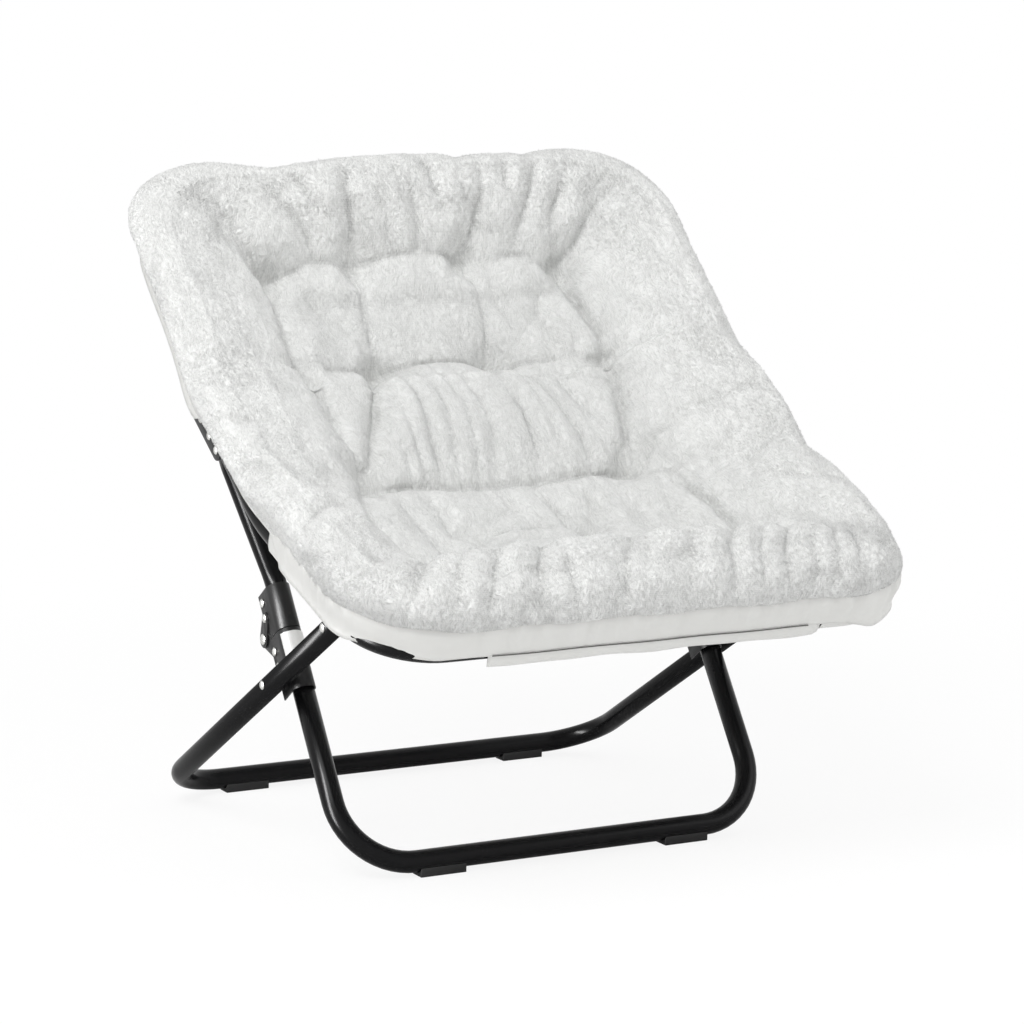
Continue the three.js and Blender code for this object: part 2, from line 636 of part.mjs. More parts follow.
const tuftShares = [
  [0.236, 0.363, 13], [0.52, 0.46, 20], [0.233, 0.704, 22], [0.227, 0.868, 18], [0.604, 0.85, 18], [0.617, 0.657, 12],
];
const smooth = (t) => {
  const held = Math.min(1, Math.max(0, t));
  return held * held * (3 - 2 * held);
};
const mix = (a, b, t) => a + (b - a) * t;

// The ring's side line, walked in short steps so that its two bends are soft
const walked = [];
{
  const slope = (run) => {
    const kick = smooth((run - seatRun + kinkReach) / (2 * kinkReach));
    const back = smooth((run - seatRun - kickRun + kinkReach) / (2 * kinkReach));
    return seatRise + (kickRise - seatRise) * kick + (backRise - kickRise) * back;
  };
  const first = -2 * rimOverhang;
  let place = step(ringFront, seatRise, first);
  for (let run = first; run <= ringRun - first; run += marchStep) {
    walked.push({ place, angle: slope(run) });
    place = step(place, slope(run + marchStep / 2), marchStep);
  }
}
function onRing(run, height) {
  const index = Math.min(walked.length - 2, Math.max(0, (run + 2 * rimOverhang) / marchStep));
  const low = walked[Math.floor(index)];
  const high = walked[Math.floor(index) + 1];
  const part = index - Math.floor(index);
  const base = [mix(low.place[0], high.place[0], part), mix(low.place[1], high.place[1], part)];
  return step(base, mix(low.angle, high.angle, part) + quarter, height);
}

function rimReach(edge) {
  const inside = rimHalfHeight - Math.min(edge, rimHalfHeight);
  return Math.sqrt(rimHalfHeight * rimHalfHeight - inside * inside);
}
function fallAt(edge) {
  const next = fallStops.findIndex(([stop]) => stop > edge);
  if (next < 0) return fallStops[fallStops.length - 1][1];
  const [from, high] = fallStops[next - 1];
  const [to, low] = fallStops[next];
  return mix(high, low, (edge - from) / (to - from));
}
function seamPull(x, run) {
  let pull = 0;
  for (const { deep, points } of seamLines) {
    for (let i = 0; i < points.length - 1; i += 1) {
      const [from, to] = [points[i], points[i + 1]].map(([wide, long]) => new THREE.Vector3(wide * ringHalfWidth, long * ringRun, 0));
      const point = new THREE.Vector3(Math.abs(x), run, 0);
      const near = new THREE.Line3(from, to).closestPointToPoint(point, true, new THREE.Vector3()).distanceTo(point);
      pull = Math.max(pull, deep * Math.exp(-near / seamReach));
    }
  }
  return pull;
}
function topHeight(x, run, edge) {
  if (edge <= rimHalfHeight) return rimCentre + rimReach(edge);
  const fromTop = ringRun + rimOverhang - run;
  const hasty = rimHalfHeight + (Math.min(fromTop, edge) - rimHalfHeight) * topHaste;
  let height = fallAt(fromTop < topBandRun ? Math.max(edge, hasty) : edge) - seamPull(x, run);
  for (const [wide, long, deep] of tuftShares) {
    const away = Math.hypot(Math.abs(x) - wide * ringHalfWidth, run - long * ringRun) / tuftSpread;
    height -= deep * Math.exp(-away * away);
  }
  const [low, high] = bolsterRunShares;
  const rise = Math.sin(Math.min(1, Math.max(0, (run / ringRun - low) / (high - low))) * Math.PI);
  return height + bolsterPuff * rise * Math.max(0, 1 - (Math.abs(x) / (bolsterHalfShare * ringHalfWidth)) ** 4);
}
function underHeight(edge) {
  const shoulder = rimCentre - rimReach(edge);
  const slope = smooth((edge - rimHalfHeight) / (shoulderEdge - rimHalfHeight));
  const belly = smooth((edge - shoulderEdge) / (bucketEdge - shoulderEdge));
  return mix(shoulder - shoulderDrop * slope, -bellyDepth, belly);
}

// The cushion's grid lines: close together over the rim, then on the sewn rows and columns
function cushionLines() {
  const rim = rimShares.map((share) => share * halfWide);
  const columns = columnShares.map((share) => share * ringHalfWidth);
  const right = [...columns, ...rim.map((edge) => halfWide - edge).reverse()];
  const wide = [...right.slice(1).map((x) => -x).reverse(), ...right];
  const long = [
    ...rim.map((edge) => edge - halfLong), ...rowShares.map((share) => (share - 0.5) * ringRun),
    ...rim.map((edge) => halfLong - edge).reverse(),
  ];
  return { wide, long };
}
function cushionSolid() {
  const lines = cushionLines();
  const positions = [];
  const index = [];
  const keys = new Map();
  const vertex = (i, j, under) => {
    const corner = [lines.wide[i], lines.long[j]];
    const edge = Math.min(halfWide - Math.abs(corner[0]), halfLong - Math.abs(corner[1]));
    const onRim = i === 0 || j === 0 || i === lines.wide.length - 1 || j === lines.long.length - 1;
    const key = `${i},${j},${onRim ? 0 : under}`;
    if (keys.has(key)) return keys.get(key);
    const wide = halfWide - edge;
    const long = halfLong - edge;
    const round = Math.min(Math.max(outlineCornerRadius - edge, 0), wide);
    const core = [wide - round, long - round];
    const kept = corner.map((value, axis) => Math.max(-core[axis], Math.min(core[axis], value)));
    const over = [corner[0] - kept[0], corner[1] - kept[1]];
    const length = Math.hypot(over[0], over[1]);
    const scale = length > 0 ? Math.min(1, round / length) : 0;
    const x = kept[0] + over[0] * scale;
    const run = ringRun / 2 + kept[1] + over[1] * scale;
    const height = under === 1 ? underHeight(edge) : topHeight(x, run, edge);
    const place = onRing(run, onRim ? rimCentre : height);
    keys.set(key, positions.length / 3);
    positions.push(x, place[0], place[1]);
    return keys.get(key);
  };
  for (let i = 0; i < lines.wide.length - 1; i += 1) {
    for (let j = 0; j < lines.long.length - 1; j += 1) {
      for (const under of [0, 1]) {
        const square = [vertex(i, j, under), vertex(i + 1, j, under), vertex(i + 1, j + 1, under), vertex(i, j + 1, under)];
        if (under === 1) square.reverse();
        const sameSign = (lines.wide[i] + lines.wide[i + 1]) * (lines.long[j] + lines.long[j + 1]) > 0;
        const order = sameSign === (under === 0) ? [0, 1, 2, 0, 2, 3] : [0, 1, 3, 1, 2, 3];
        index.push(...order.map((corner) => square[corner]));
      }
    }
  }
  const geometry = new THREE.BufferGeometry();
  geometry.setAttribute("position", new THREE.Float32BufferAttribute(positions, 3));
  geometry.setIndex(index);
  return toSolid(geometry);
}

// The wedge that folding needs above the hinge, and the thin slit below it
const foldSlack = 1.5 * deg;
const slitHalf = 0.4;
const padClearance = 2.4;
const apexDrop = 3;
const wedgeReach = 220;
function foldWedge(shrink) {
  const middle = (kickRise + backRise) / 2 + quarter;
  const spread = foldRange / 2 + foldSlack;
  const apex = step(hingePoint, middle, -apexDrop + shrink * 2);
  const wedge = new THREE.Shape();
  wedge.moveTo(...step(apex, middle - spread, wedgeReach));
  wedge.lineTo(...step(apex, middle + spread, wedgeReach));
  wedge.lineTo(...apex);
  wedge.closePath();
  return wedge;
}
function foldSlit() {
  const middle = (kickRise + backRise) / 2 + quarter;
  const apex = step(hingePoint, middle, -apexDrop / 2);
  const slit = new THREE.Shape();
  slit.moveTo(...step(apex, middle + quarter, slitHalf));
  slit.lineTo(...step(step(apex, middle + quarter, slitHalf), middle, -wedgeReach));
  slit.lineTo(...step(step(apex, middle - quarter, slitHalf), middle, -wedgeReach));
  slit.lineTo(...step(apex, middle - quarter, slitHalf));
  slit.closePath();
  return slit;
}
{
  const reach = halfWide + cutOverrun;
  const headRoom = 2 * headHeight;
  const tools = [];
  tools.push(toSolid(tubeGeometry(seatRingPoints, seatRingRadii, ringRadius + seatGap, ringRadius, ringSides)));
  tools.push(toSolid(tubeGeometry(backRingPoints, backRingRadii, ringRadius + seatGap, ringRadius, ringSides)));
  for (const { sign } of sides) {
    const faces = [sign * (plateInnerX - headRoom), sign * (plateOuterX + headRoom)].sort((a, b) => a - b);
    tools.push(toSolid(plateGeometry(strapShape(clampDiscs(padClearance)), faces[0], faces[1])));
    const seat = { c: hingePoint, r: hingeEdge * 1.1 + padClearance };
    const low = { c: step(hingePoint, kickRise - quarter, hingeEdge), r: hingeEdge };
    tools.push(toSolid(plateGeometry(strapShape([seat, low]), faces[0], faces[1])));
  }
  const saucer = cutAll(cushionSolid(), tools);
  const wedge = toSolid(plateGeometry(foldWedge(0), -reach, reach));
  const slit = toSolid(plateGeometry(foldSlit(), -reach, reach));
  const halves = saucer.subtract(wedge).subtract(slit).decompose();
  const kept = halves.filter((half) => half.volume() > halves.reduce((sum, other) => sum + other.volume(), 0) / 10);
  kept.sort((a, b) => a.boundingBox().min[1] - b.boundingBox().min[1]);
  addPart("seat_pad", toGeometry(kept[0]), whitePlush);
  addPart("back_pad", toGeometry(kept[1]), whitePlush);
  const filling = saucer.intersect(toSolid(plateGeometry(foldWedge(seatGap), -reach, reach))).decompose();
  for (const { name, sign } of sides) {
    const own = filling.filter((piece) => Math.sign(piece.boundingBox().min[0] + piece.boundingBox().max[0]) === sign);
    own.sort((a, b) => b.volume() - a.volume());
    addPart(`rim_gusset_${name}`, toGeometry(own[0]), whitePlush);
  }
}

// The origin goes to the middle of the floor under the whole chair
const bounds = new THREE.Box3().setFromObject(chair);
const middle = bounds.getCenter(new THREE.Vector3());
chair.position.set(-middle.x, -middle.y, -bounds.min.z);

export default chair;
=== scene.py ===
import bpy
import bmesh
import json
import math
import numpy as np
from mathutils import Matrix, Vector, noise


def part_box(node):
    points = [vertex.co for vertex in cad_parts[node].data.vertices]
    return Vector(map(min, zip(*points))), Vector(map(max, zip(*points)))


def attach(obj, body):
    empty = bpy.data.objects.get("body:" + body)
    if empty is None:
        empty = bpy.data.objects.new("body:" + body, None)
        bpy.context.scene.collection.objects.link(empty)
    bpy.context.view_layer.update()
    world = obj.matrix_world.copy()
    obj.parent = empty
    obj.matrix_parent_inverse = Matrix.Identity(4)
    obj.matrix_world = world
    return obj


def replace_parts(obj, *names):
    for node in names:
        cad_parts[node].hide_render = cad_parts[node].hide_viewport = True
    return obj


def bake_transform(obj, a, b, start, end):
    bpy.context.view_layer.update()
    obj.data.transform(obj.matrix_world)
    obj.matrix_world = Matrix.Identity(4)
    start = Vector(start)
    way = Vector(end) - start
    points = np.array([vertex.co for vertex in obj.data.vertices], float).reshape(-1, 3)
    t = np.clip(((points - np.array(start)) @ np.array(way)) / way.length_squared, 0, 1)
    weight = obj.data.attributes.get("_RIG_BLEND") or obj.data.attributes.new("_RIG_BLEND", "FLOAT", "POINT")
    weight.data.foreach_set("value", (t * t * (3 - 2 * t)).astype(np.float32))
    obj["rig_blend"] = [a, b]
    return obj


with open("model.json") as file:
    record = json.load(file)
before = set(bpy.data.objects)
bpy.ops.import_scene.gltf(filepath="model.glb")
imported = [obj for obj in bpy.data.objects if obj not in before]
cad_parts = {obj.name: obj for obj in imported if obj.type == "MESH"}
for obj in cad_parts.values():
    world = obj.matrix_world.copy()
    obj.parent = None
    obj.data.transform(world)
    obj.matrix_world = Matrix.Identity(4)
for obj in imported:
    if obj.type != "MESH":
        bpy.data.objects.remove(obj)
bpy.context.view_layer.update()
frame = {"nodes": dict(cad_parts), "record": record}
scene = bpy.context.scene
scene.view_settings.view_transform = "Standard"
shiftY = -0.122381  # the frame's origin is this far behind the front cross bar
print("frame loaded")

cameraView = {"place": (-1.6936, -3.2590, 0.9187), "azimuth": -27.436, "elevation": 8.363, "lens": 113.51}


def addCamera(view):
    data = bpy.data.cameras.new("photoCamera")
    data.lens, data.sensor_width, data.clip_end = view["lens"], 36.0, 60
    camera = bpy.data.objects.new("photoCamera", data)
    az, el = math.radians(view["azimuth"]), math.radians(view["elevation"])
    back = Vector((math.sin(az) * math.cos(el), -math.cos(az) * math.cos(el), math.sin(el)))
    camera.location = view["place"]
    camera.rotation_euler = (-back).to_track_quat("-Z", "Y").to_euler()
    scene.collection.objects.link(camera)
    scene.camera = camera


addCamera(cameraView)
print("camera placed")


def addNode(tree, kind, values=None, **settings):
    node = tree.nodes.new("ShaderNode" + kind)
    node.location = (220 * len(tree.nodes), 0)
    for key, value in settings.items():
        setattr(node, key, value)
    for key, value in (values or {}).items():
        node.inputs[key].default_value = value
    return node


def wire(tree, *rows):  # each row is a node, its output, the next node and the input there
    for source, output, target, entry in rows:
        tree.links.new(source.outputs[output], target.inputs[entry])


def newGroup(name, inputs, outputs):
    group = bpy.data.node_groups.new(name, "ShaderNodeTree")
    for way, labels in (("INPUT", inputs), ("OUTPUT", outputs)):
        for label in labels:
            kind = "Vector" if label in ("Vector", "Normal") else "Float"
            group.interface.new_socket(label, in_out=way, socket_type="NodeSocket" + kind)
    return group, group.nodes.new("NodeGroupInput"), group.nodes.new("NodeGroupOutput")


def buildGrain():  # fine surface texture: a bump normal and a roughness that varies a little
    group, entry, leave = newGroup(
        "surfaceGrain", ("Vector", "Scale", "Depth", "Roughness", "Spread"), ("Normal", "Roughness"))
    fine = addNode(group, "TexNoise", {"Detail": 4.0})
    broad = addNode(group, "TexNoise", {"Scale": 14.0, "Detail": 3.0})
    bump = addNode(group, "Bump", {"Distance": 0.001})
    vary = addNode(group, "Math", {1: 0.5}, operation="SUBTRACT")
    total = addNode(group, "Math", operation="MULTIPLY_ADD")
    wire(group, (entry, "Vector", fine, "Vector"), (entry, "Scale", fine, "Scale"), (entry, "Vector", broad, "Vector"),
         (fine, "Fac", bump, "Height"), (entry, "Depth", bump, "Strength"), (broad, "Fac", vary, 0),
         (vary, 0, total, 0), (entry, "Spread", total, 1), (entry, "Roughness", total, 2),
         (bump, "Normal", leave, "Normal"), (total, 0, leave, "Roughness"))
    return group


def buildRub():  # light handling marks: a mask of small scuffs
    group, entry, leave = newGroup("handlingRub", ("Vector", "Amount"), ("Mask",))
    patches = addNode(group, "TexNoise", {"Scale": 22.0, "Detail": 5.0, "Roughness": 0.7})
    specks = addNode(group, "TexNoise", {"Scale": 320.0, "Detail": 2.0})
    both = addNode(group, "Math", operation="MULTIPLY")
    ramp = addNode(group, "MapRange", {"From Min": 0.33, "From Max": 0.46})
    scaled = addNode(group, "Math", operation="MULTIPLY")
    wire(group, (entry, "Vector", patches, "Vector"), (entry, "Vector", specks, "Vector"), (patches, "Fac", both, 0),
         (specks, "Fac", both, 1), (both, 0, ramp, "Value"), (ramp, "Result", scaled, 0),
         (entry, "Amount", scaled, 1), (scaled, 0, leave, "Mask"))
    return group


grainGroup = buildGrain()
rubGroup = buildRub()

finishes = {  # by material slot
    "black_tube": {"name": "blackTube", "colour": (0.0045, 0.0045, 0.005), "worn": (0.03, 0.03, 0.032), "rough": 0.24,
        "spread": 0.08, "grain": 900.0, "depth": 0.06, "rub": 0.10, "shine": 0.12},
    "black_sheet": {"name": "blackSheet", "colour": (0.010, 0.010, 0.0105), "worn": (0.07, 0.07, 0.07), "rough": 0.38,
        "spread": 0.12, "grain": 700.0, "depth": 0.18, "rub": 0.3, "shine": 0.3},
    "zinc_rivet": {"name": "zincRivet", "colour": (0.56, 0.56, 0.54), "worn": (0.3, 0.3, 0.29), "rough": 0.34,
        "spread": 0.2, "grain": 500.0, "depth": 0.2, "rub": 0.8, "metal": 1.0, "shine": 0.5},
    "black_plastic": {"name": "blackPlastic", "colour": (0.012, 0.012, 0.012), "worn": (0.045, 0.045, 0.045),
        "rough": 0.55, "spread": 0.12, "grain": 1100.0, "depth": 0.3, "rub": 0.3, "shine": 0.3},
    "white_film": {"name": "whiteFilm", "colour": (0.78, 0.78, 0.77), "worn": (0.6, 0.6, 0.58), "rough": 0.42,
        "spread": 0.1, "grain": 260.0, "depth": 0.08, "rub": 0.5, "coat": 0.1, "shine": 0.5},
}


def newMaterial(name, values):
    material = bpy.data.materials.new(name)
    material.use_nodes = True
    shader = material.node_tree.nodes["Principled BSDF"]
    for key, value in values.items():
        shader.inputs[key].default_value = value
    return material, material.node_tree, shader


def addMix(tree, first, second):
    return addNode(tree, "Mix", {6: (*first, 1), 7: (*second, 1)}, data_type="RGBA")


def addGrain(tree, shader, scale, depth, rough, spread):  # fine grain on the piece's own coordinates
    coords = addNode(tree, "TexCoord")
    values = {"Scale": scale, "Depth": depth, "Roughness": rough, "Spread": spread}
    grain = addNode(tree, "Group", values, node_tree=grainGroup)
    wire(tree, (coords, "Object", grain, "Vector"), (grain, "Normal", shader, "Normal"),
         (grain, "Roughness", shader, "Roughness"))
    return coords


def makeFinish(look):
    material, tree, shader = newMaterial(look["name"], {
        "Metallic": look.get("metal", 0), "Coat Weight": look.get("coat", 0), "Coat Roughness": 0.12,
        "Specular IOR Level": look["shine"]})
    coords = addGrain(tree, shader, look["grain"], look["depth"], look["rough"], look["spread"])
    rub = addNode(tree, "Group", {"Amount": look["rub"]}, node_tree=rubGroup)
    mix = addMix(tree, look["colour"], look["worn"])
    wire(tree, (coords, "Object", rub, "Vector"), (rub, "Mask", mix, 0), (mix, 2, shader, "Base Color"))
    return material


materials = {slot: makeFinish(look) for slot, look in finishes.items()}
nodeSlot = {part["node"]: part["material_slot"] for part in frame["record"]["subparts"]}
for nodeName, nodeObject in frame["nodes"].items():
    if nodeSlot[nodeName] in materials:
        for materialSlot in nodeObject.material_slots:
            materialSlot.material = materials[nodeSlot[nodeName]]
print("finishes made")


def easeStep(t):
    t = np.clip(t, 0, 1)
    return t * t * (3 - 2 * t)


def toObject(bm, name, material, smooth=True, body=None):
    mesh = bpy.data.meshes.new(name)
    bm.to_mesh(mesh)
    bm.free()
    piece = bpy.data.objects.new(name, mesh)
    scene.collection.objects.link(piece)
    mesh.materials.append(material)
    for face in mesh.polygons:
        face.use_smooth = smooth
    if body:
        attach(piece, body)
    return piece


def standIn(bm, name, slot, body, node):  # a piece that takes a node's place
    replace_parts(toObject(bm, name, materials[slot], body=body), node)


def closed(bm, wall=0):  # doubles merged, faces turned outwards, and a wall's thickness given
    bmesh.ops.remove_doubles(bm, verts=bm.verts, dist=1e-6)
    bmesh.ops.recalc_face_normals(bm, faces=bm.faces)
    if wall:
        bmesh.ops.solidify(bm, geom=list(bm.faces), thickness=wall)
        bmesh.ops.recalc_face_normals(bm, faces=bm.faces)
    return bm


def bentTube(points, radii, radius, wall=0.0014):  # a tube along straight runs and round bends
    sides, bendSteps = 32, 14
    corners = [Vector(p) for p in points]
    heading = (corners[1] - corners[0]).normalized()
    bm = bmesh.new()
    start = Matrix.Translation(corners[0]) @ heading.to_track_quat("Z", "Y").to_matrix().to_4x4()
    bmesh.ops.create_circle(bm, cap_ends=False, radius=radius, segments=sides, matrix=start)
    rim = list(bm.edges)
    here = corners[0]
    for i in range(1, len(corners) - 1):
        inward = (corners[i] - corners[i - 1]).normalized()
        outward = (corners[i + 1] - corners[i]).normalized()
        turn = inward.angle(outward)
        reach = radii[i - 1] * math.tan(turn / 2)
        bendStart = corners[i] - inward * reach
        side = (outward - inward * math.cos(turn)).normalized()
        rim = extendRim(bm, rim, bendStart - here)
        centre = bendStart + side * radii[i - 1]
        swept = bmesh.ops.spin(bm, geom=rim + list({v for e in rim for v in e.verts}), cent=centre,
                               axis=inward.cross(outward).normalized(), dvec=(0, 0, 0), angle=turn,
                               steps=bendSteps, use_duplicate=False)
        rim = [g for g in swept["geom_last"] if isinstance(g, bmesh.types.BMEdge)]
        here = corners[i] + outward * reach
    extendRim(bm, rim, corners[-1] - here)
    return closed(bm, wall)


def extendRim(bm, rim, move):
    grown = bmesh.ops.extrude_edge_only(bm, edges=rim)["geom"]
    bmesh.ops.translate(bm, verts=[g for g in grown if isinstance(g, bmesh.types.BMVert)], vec=move)
    return [g for g in grown if isinstance(g, bmesh.types.BMEdge)
            and all(v in grown for v in g.verts) and len(g.link_faces) == 1]


def sideways(run, angle):  # a length along an angle in the side view
    return Vector((0, math.cos(angle) * run, math.sin(angle) * run))


legs = {
    "tube": 0.0125, "barHeight": 0.0165, "frontHalf": 0.265, "frontAngle": 55.6, "frontTop": 0.289,
    "frontCorner": 0.080, "rearHalf": 0.294, "rearBarY": 0.4747, "rearAngle": 29.0, "rearCorner": 0.070,
    "rearTop": 0.5884,
}
frontFoot = Vector((0, shiftY, legs["barHeight"]))
rearFoot = Vector((0, shiftY + legs["rearBarY"], legs["barHeight"]))
frontLean = math.radians(legs["frontAngle"])
rearLean = math.pi - math.radians(legs["rearAngle"])


def offCentre(point, x):
    return Vector((x, point.y, point.z))


def frontPoint(run, behind=0.0):
    return frontFoot + sideways(run, frontLean) + sideways(behind, frontLean - math.pi / 2)


def rearPoint(run):
    return rearFoot + sideways(run, rearLean)


def uFrame(name, foot, top, half, corner, body, node):
    points = [offCentre(top, -half), offCentre(foot, -half), offCentre(foot, half), offCentre(top, half)]
    bm = bentTube(points, [corner, corner], legs["tube"])
    standIn(bm, name, "black_tube", body, node)


uFrame("frontLegTube", frontFoot, frontPoint(legs["frontTop"]), legs["frontHalf"], legs["frontCorner"],
       "front_legs", "front_leg_frame")
uFrame("rearLegTube", rearFoot, rearPoint(legs["rearTop"]), legs["rearHalf"], legs["rearCorner"],
       "rear_legs", "rear_leg_frame")

ring = {
    "tube": 0.011, "half": 0.326, "corner": 0.080, "frontY": -0.200, "frontZ": 0.2915,
    "seatRise": 19.3, "seatRun": 0.312, "kickRise": 36.0, "kickRun": 0.170, "kickBend": 0.220,
    "backRise": 45.0, "backRun": 0.322, "topCorner": 0.090, "endGap": 0.018,
}
seatRise, kickRise, backRise = (math.radians(ring[k]) for k in ("seatRise", "kickRise", "backRise"))
ringFront = Vector((0, shiftY + ring["frontY"], ring["frontZ"]))
kickPoint = ringFront + sideways(ring["seatRun"], seatRise)
hingePoint = kickPoint + sideways(ring["kickRun"], kickRise)
backTop = hingePoint + sideways(ring["backRun"], backRise)
riserTop = hingePoint + Vector((0, 0.026, -0.020))


def ringTube(name, end, corners, radii, body, node):
    half = ring["half"]
    points = [offCentre(p, -half) for p in [end] + corners] + [offCentre(p, half) for p in corners[::-1] + [end]]
    bm = bentTube(points, radii, ring["tube"])
    standIn(bm, name, "black_tube", body, node)


ringTube("seatRingTube", hingePoint - sideways(ring["endGap"], kickRise), [kickPoint, ringFront],
         [ring["kickBend"], ring["corner"], ring["corner"], ring["kickBend"]], "seat_half", "seat_ring")
ringTube("backRingTube", hingePoint - sideways(ring["tube"], backRise), [backTop],
         [ring["topCorner"], ring["topCorner"]], "back_half", "back_ring")

riser = {"foot": 0.290, "sleeve": 0.066, "bend": 0.060, "topX": 0.308, "blade": 0.008, "flatFrom": 0.052,
         "flatTo": 0.030, "widen": 1.14, "overTop": 0.012, "cuts": 16, "firstCut": 0.0598, "cutStep": 0.0045,
         "endRound": 0.85}


def riserTube(sign, side):
    foot = offCentre(frontPoint(riser["foot"]), sign * legs["frontHalf"])
    bend = offCentre(frontPoint(riser["foot"] + riser["sleeve"]), sign * legs["frontHalf"])
    top = offCentre(riserTop, sign * riser["topX"])
    lift = (top - bend).normalized()
    bm = bentTube([foot, bend, top + lift * riser["overTop"]], [riser["bend"]], legs["tube"], wall=0)
    span = (top - bend).length
    for i in range(riser["cuts"]):
        cut = top - lift * (riser["firstCut"] - i * riser["cutStep"])
        bmesh.ops.bisect_plane(bm, geom=list(bm.verts) + list(bm.edges) + list(bm.faces), plane_co=cut, plane_no=lift)
    openEnd = [e for e in bm.edges if len(e.link_faces) == 1 and (e.verts[0].co - bend).length > span * 0.9]
    bmesh.ops.holes_fill(bm, edges=openEnd)
    across = lift.cross(Vector((1, 0, 0))).normalized()
    for vertex in bm.verts:
        below = (top - vertex.co).dot(lift)
        t = easeStep((riser["flatFrom"] - below) / (riser["flatFrom"] - riser["flatTo"]))
        offset = (vertex.co - (top - lift * below)).dot(across)
        squeeze = 1 - t * (1 - riser["blade"] / 2 / legs["tube"])
        if t > 0:
            vertex.co.x = sign * riser["topX"] + (vertex.co.x - sign * riser["topX"]) * squeeze
        vertex.co += across * offset * (riser["widen"] - 1) * t
        if below < 0:
            vertex.co += lift * below * (abs(offset) / legs["tube"]) ** 2 * riser["endRound"]
    standIn(closed(bm), "riserTube_" + side, "black_tube", "risers", "riser_" + side)


for sign, side in ((-1, "left"), (1, "right")):
    riserTube(sign, side)
print("tubes bent")

# rivets and pins, turned round again from the size of each plain one
turning = {"steps": 28, "cap": 0.0024, "profileShares": (
    (0, 0), (0.434, 0.06), (0.713, 0.30), (0.97, 0.72), (1, 0.90), (0.985, 1), (0.62, 1))}
riders = [(node, body) for body, nodes in frame["record"]["behaviour"]["bodies"].items() for node in nodes]


def turnedRivet(node, body):
    low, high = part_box(node)
    mid = (low + high) / 2
    head = (high.z - low.z) / 2
    length = high.x - low.x
    cap = min(turning["cap"], length / 4)
    bm = bmesh.new()
    profile = [(head * r, cap * x) for r, x in turning["profileShares"]]
    rows = profile + [(r, length - x) for r, x in profile[::-1]]
    chain = [bm.verts.new((low.x + x, mid.y, mid.z + r)) for r, x in rows]
    edges = [bm.edges.new(pair) for pair in zip(chain[:-1], chain[1:])]
    bmesh.ops.spin(bm, geom=chain + edges, cent=mid, axis=(1, 0, 0), dvec=(0, 0, 0), angle=math.tau,
                   steps=turning["steps"], use_merge=True, use_duplicate=False)
    standIn(closed(bm), "turned_" + node, "zinc_rivet", body, node)


for node, body in riders:
    if nodeSlot[node] == "zinc_rivet":
        turnedRivet(node, body)
print("rivets turned")

# sheet brackets and plastic pieces: a merged copy with softened edges
softEdge = {"bevels": {"black_sheet": 0.0004, "black_plastic": 0.0006}, "angle": 38.0, "shadedAngle": 50.0}


def softenedCopy(node, body, slot):
    bm = bmesh.new()
    bm.from_mesh(frame["nodes"][node].data)
    bmesh.ops.remove_doubles(bm, verts=bm.verts, dist=1e-5)
    bmesh.ops.dissolve_limit(bm, angle_limit=math.radians(2), verts=bm.verts, edges=bm.edges)

    def bends(edge, angle):
        return len(edge.link_faces) == 2 and edge.calc_face_angle(0) > math.radians(angle)

    sharp = [e for e in bm.edges if bends(e, softEdge["angle"])]
    bmesh.ops.bevel(bm, geom=sharp, offset=softEdge["bevels"][slot], offset_type="OFFSET", segments=2, profile=0.5,
                    material=-1, affect="EDGES", clamp_overlap=True)
    bmesh.ops.triangulate(bm, faces=bm.faces)
    for edge in bm.edges:
        edge.smooth = not bends(edge, softEdge["shadedAngle"])
    standIn(bm, "soft_" + node, slot, body, node)


for node, body in riders:
    if nodeSlot[node] in softEdge["bevels"]:
        softenedCopy(node, body, nodeSlot[node])
print("brackets softened")

# the padded saucer
saucer = {  # the falls are the bowl's heights at distances from the rim, in millimetres
    "halfWidth": 0.3505, "overhang": 0.0245, "rim": 0.034, "rimHeight": 0.043, "corner": 0.105,
    "wrap": 42.0, "frontWrap": 12.0, "sideWrap": 62.0, "cells": 190, "underCells": 90,
    "falls": ((34, 77), (80, 60), (120, 34), (160, 10), (210, -12), (285, -26),
              (400, -30)),
    "frontFalls": ((34, 77), (55, 86), (75, 88), (95, 74), (120, 36), (160, -4),
                   (210, -19), (285, -26), (400, -30)),
    "topBand": 0.300, "topHaste": 1.25, "frontBlend": 0.16, "evenFromShare": 0.40, "evenOverShare": 0.38,
}
tufts = {"places": ((0.077, 0.292, 0.013), (0.170, 0.370, 0.022), (0.076, 0.566, 0.024), (0.074, 0.698, 0.020),
                    (0.197, 0.683, 0.018), (0.201, 0.528, 0.012)),
         "spread": 0.028, "fold": 0.0026, "folds": 7, "reach": 0.036, "hole": 0.007}
ringRun = ring["seatRun"] + ring["kickRun"] + ring["backRun"]


def summed(steps):  # the way walked at the start and after each step
    return np.concatenate([[0], np.cumsum(steps)])


def walkRing():  # the ring's side line in short steps, its two bends softened
    step, first, reach = 0.002, -0.15, 0.060
    runs = np.arange(first, ringRun + 0.15, step)
    kick = easeStep((runs - ring["seatRun"] + reach) / (2 * reach))
    back = easeStep((runs - ring["seatRun"] - ring["kickRun"] + reach) / (2 * reach))
    angles = seatRise + (kickRise - seatRise) * kick + (backRise - kickRise) * back
    mids = (angles[:-1] + angles[1:]) / 2
    ys, zs = summed(np.cos(mids) * step), summed(np.sin(mids) * step)
    return runs, ys + ringFront.y - np.interp(0, runs, ys), zs + ringFront.z - np.interp(0, runs, zs), angles


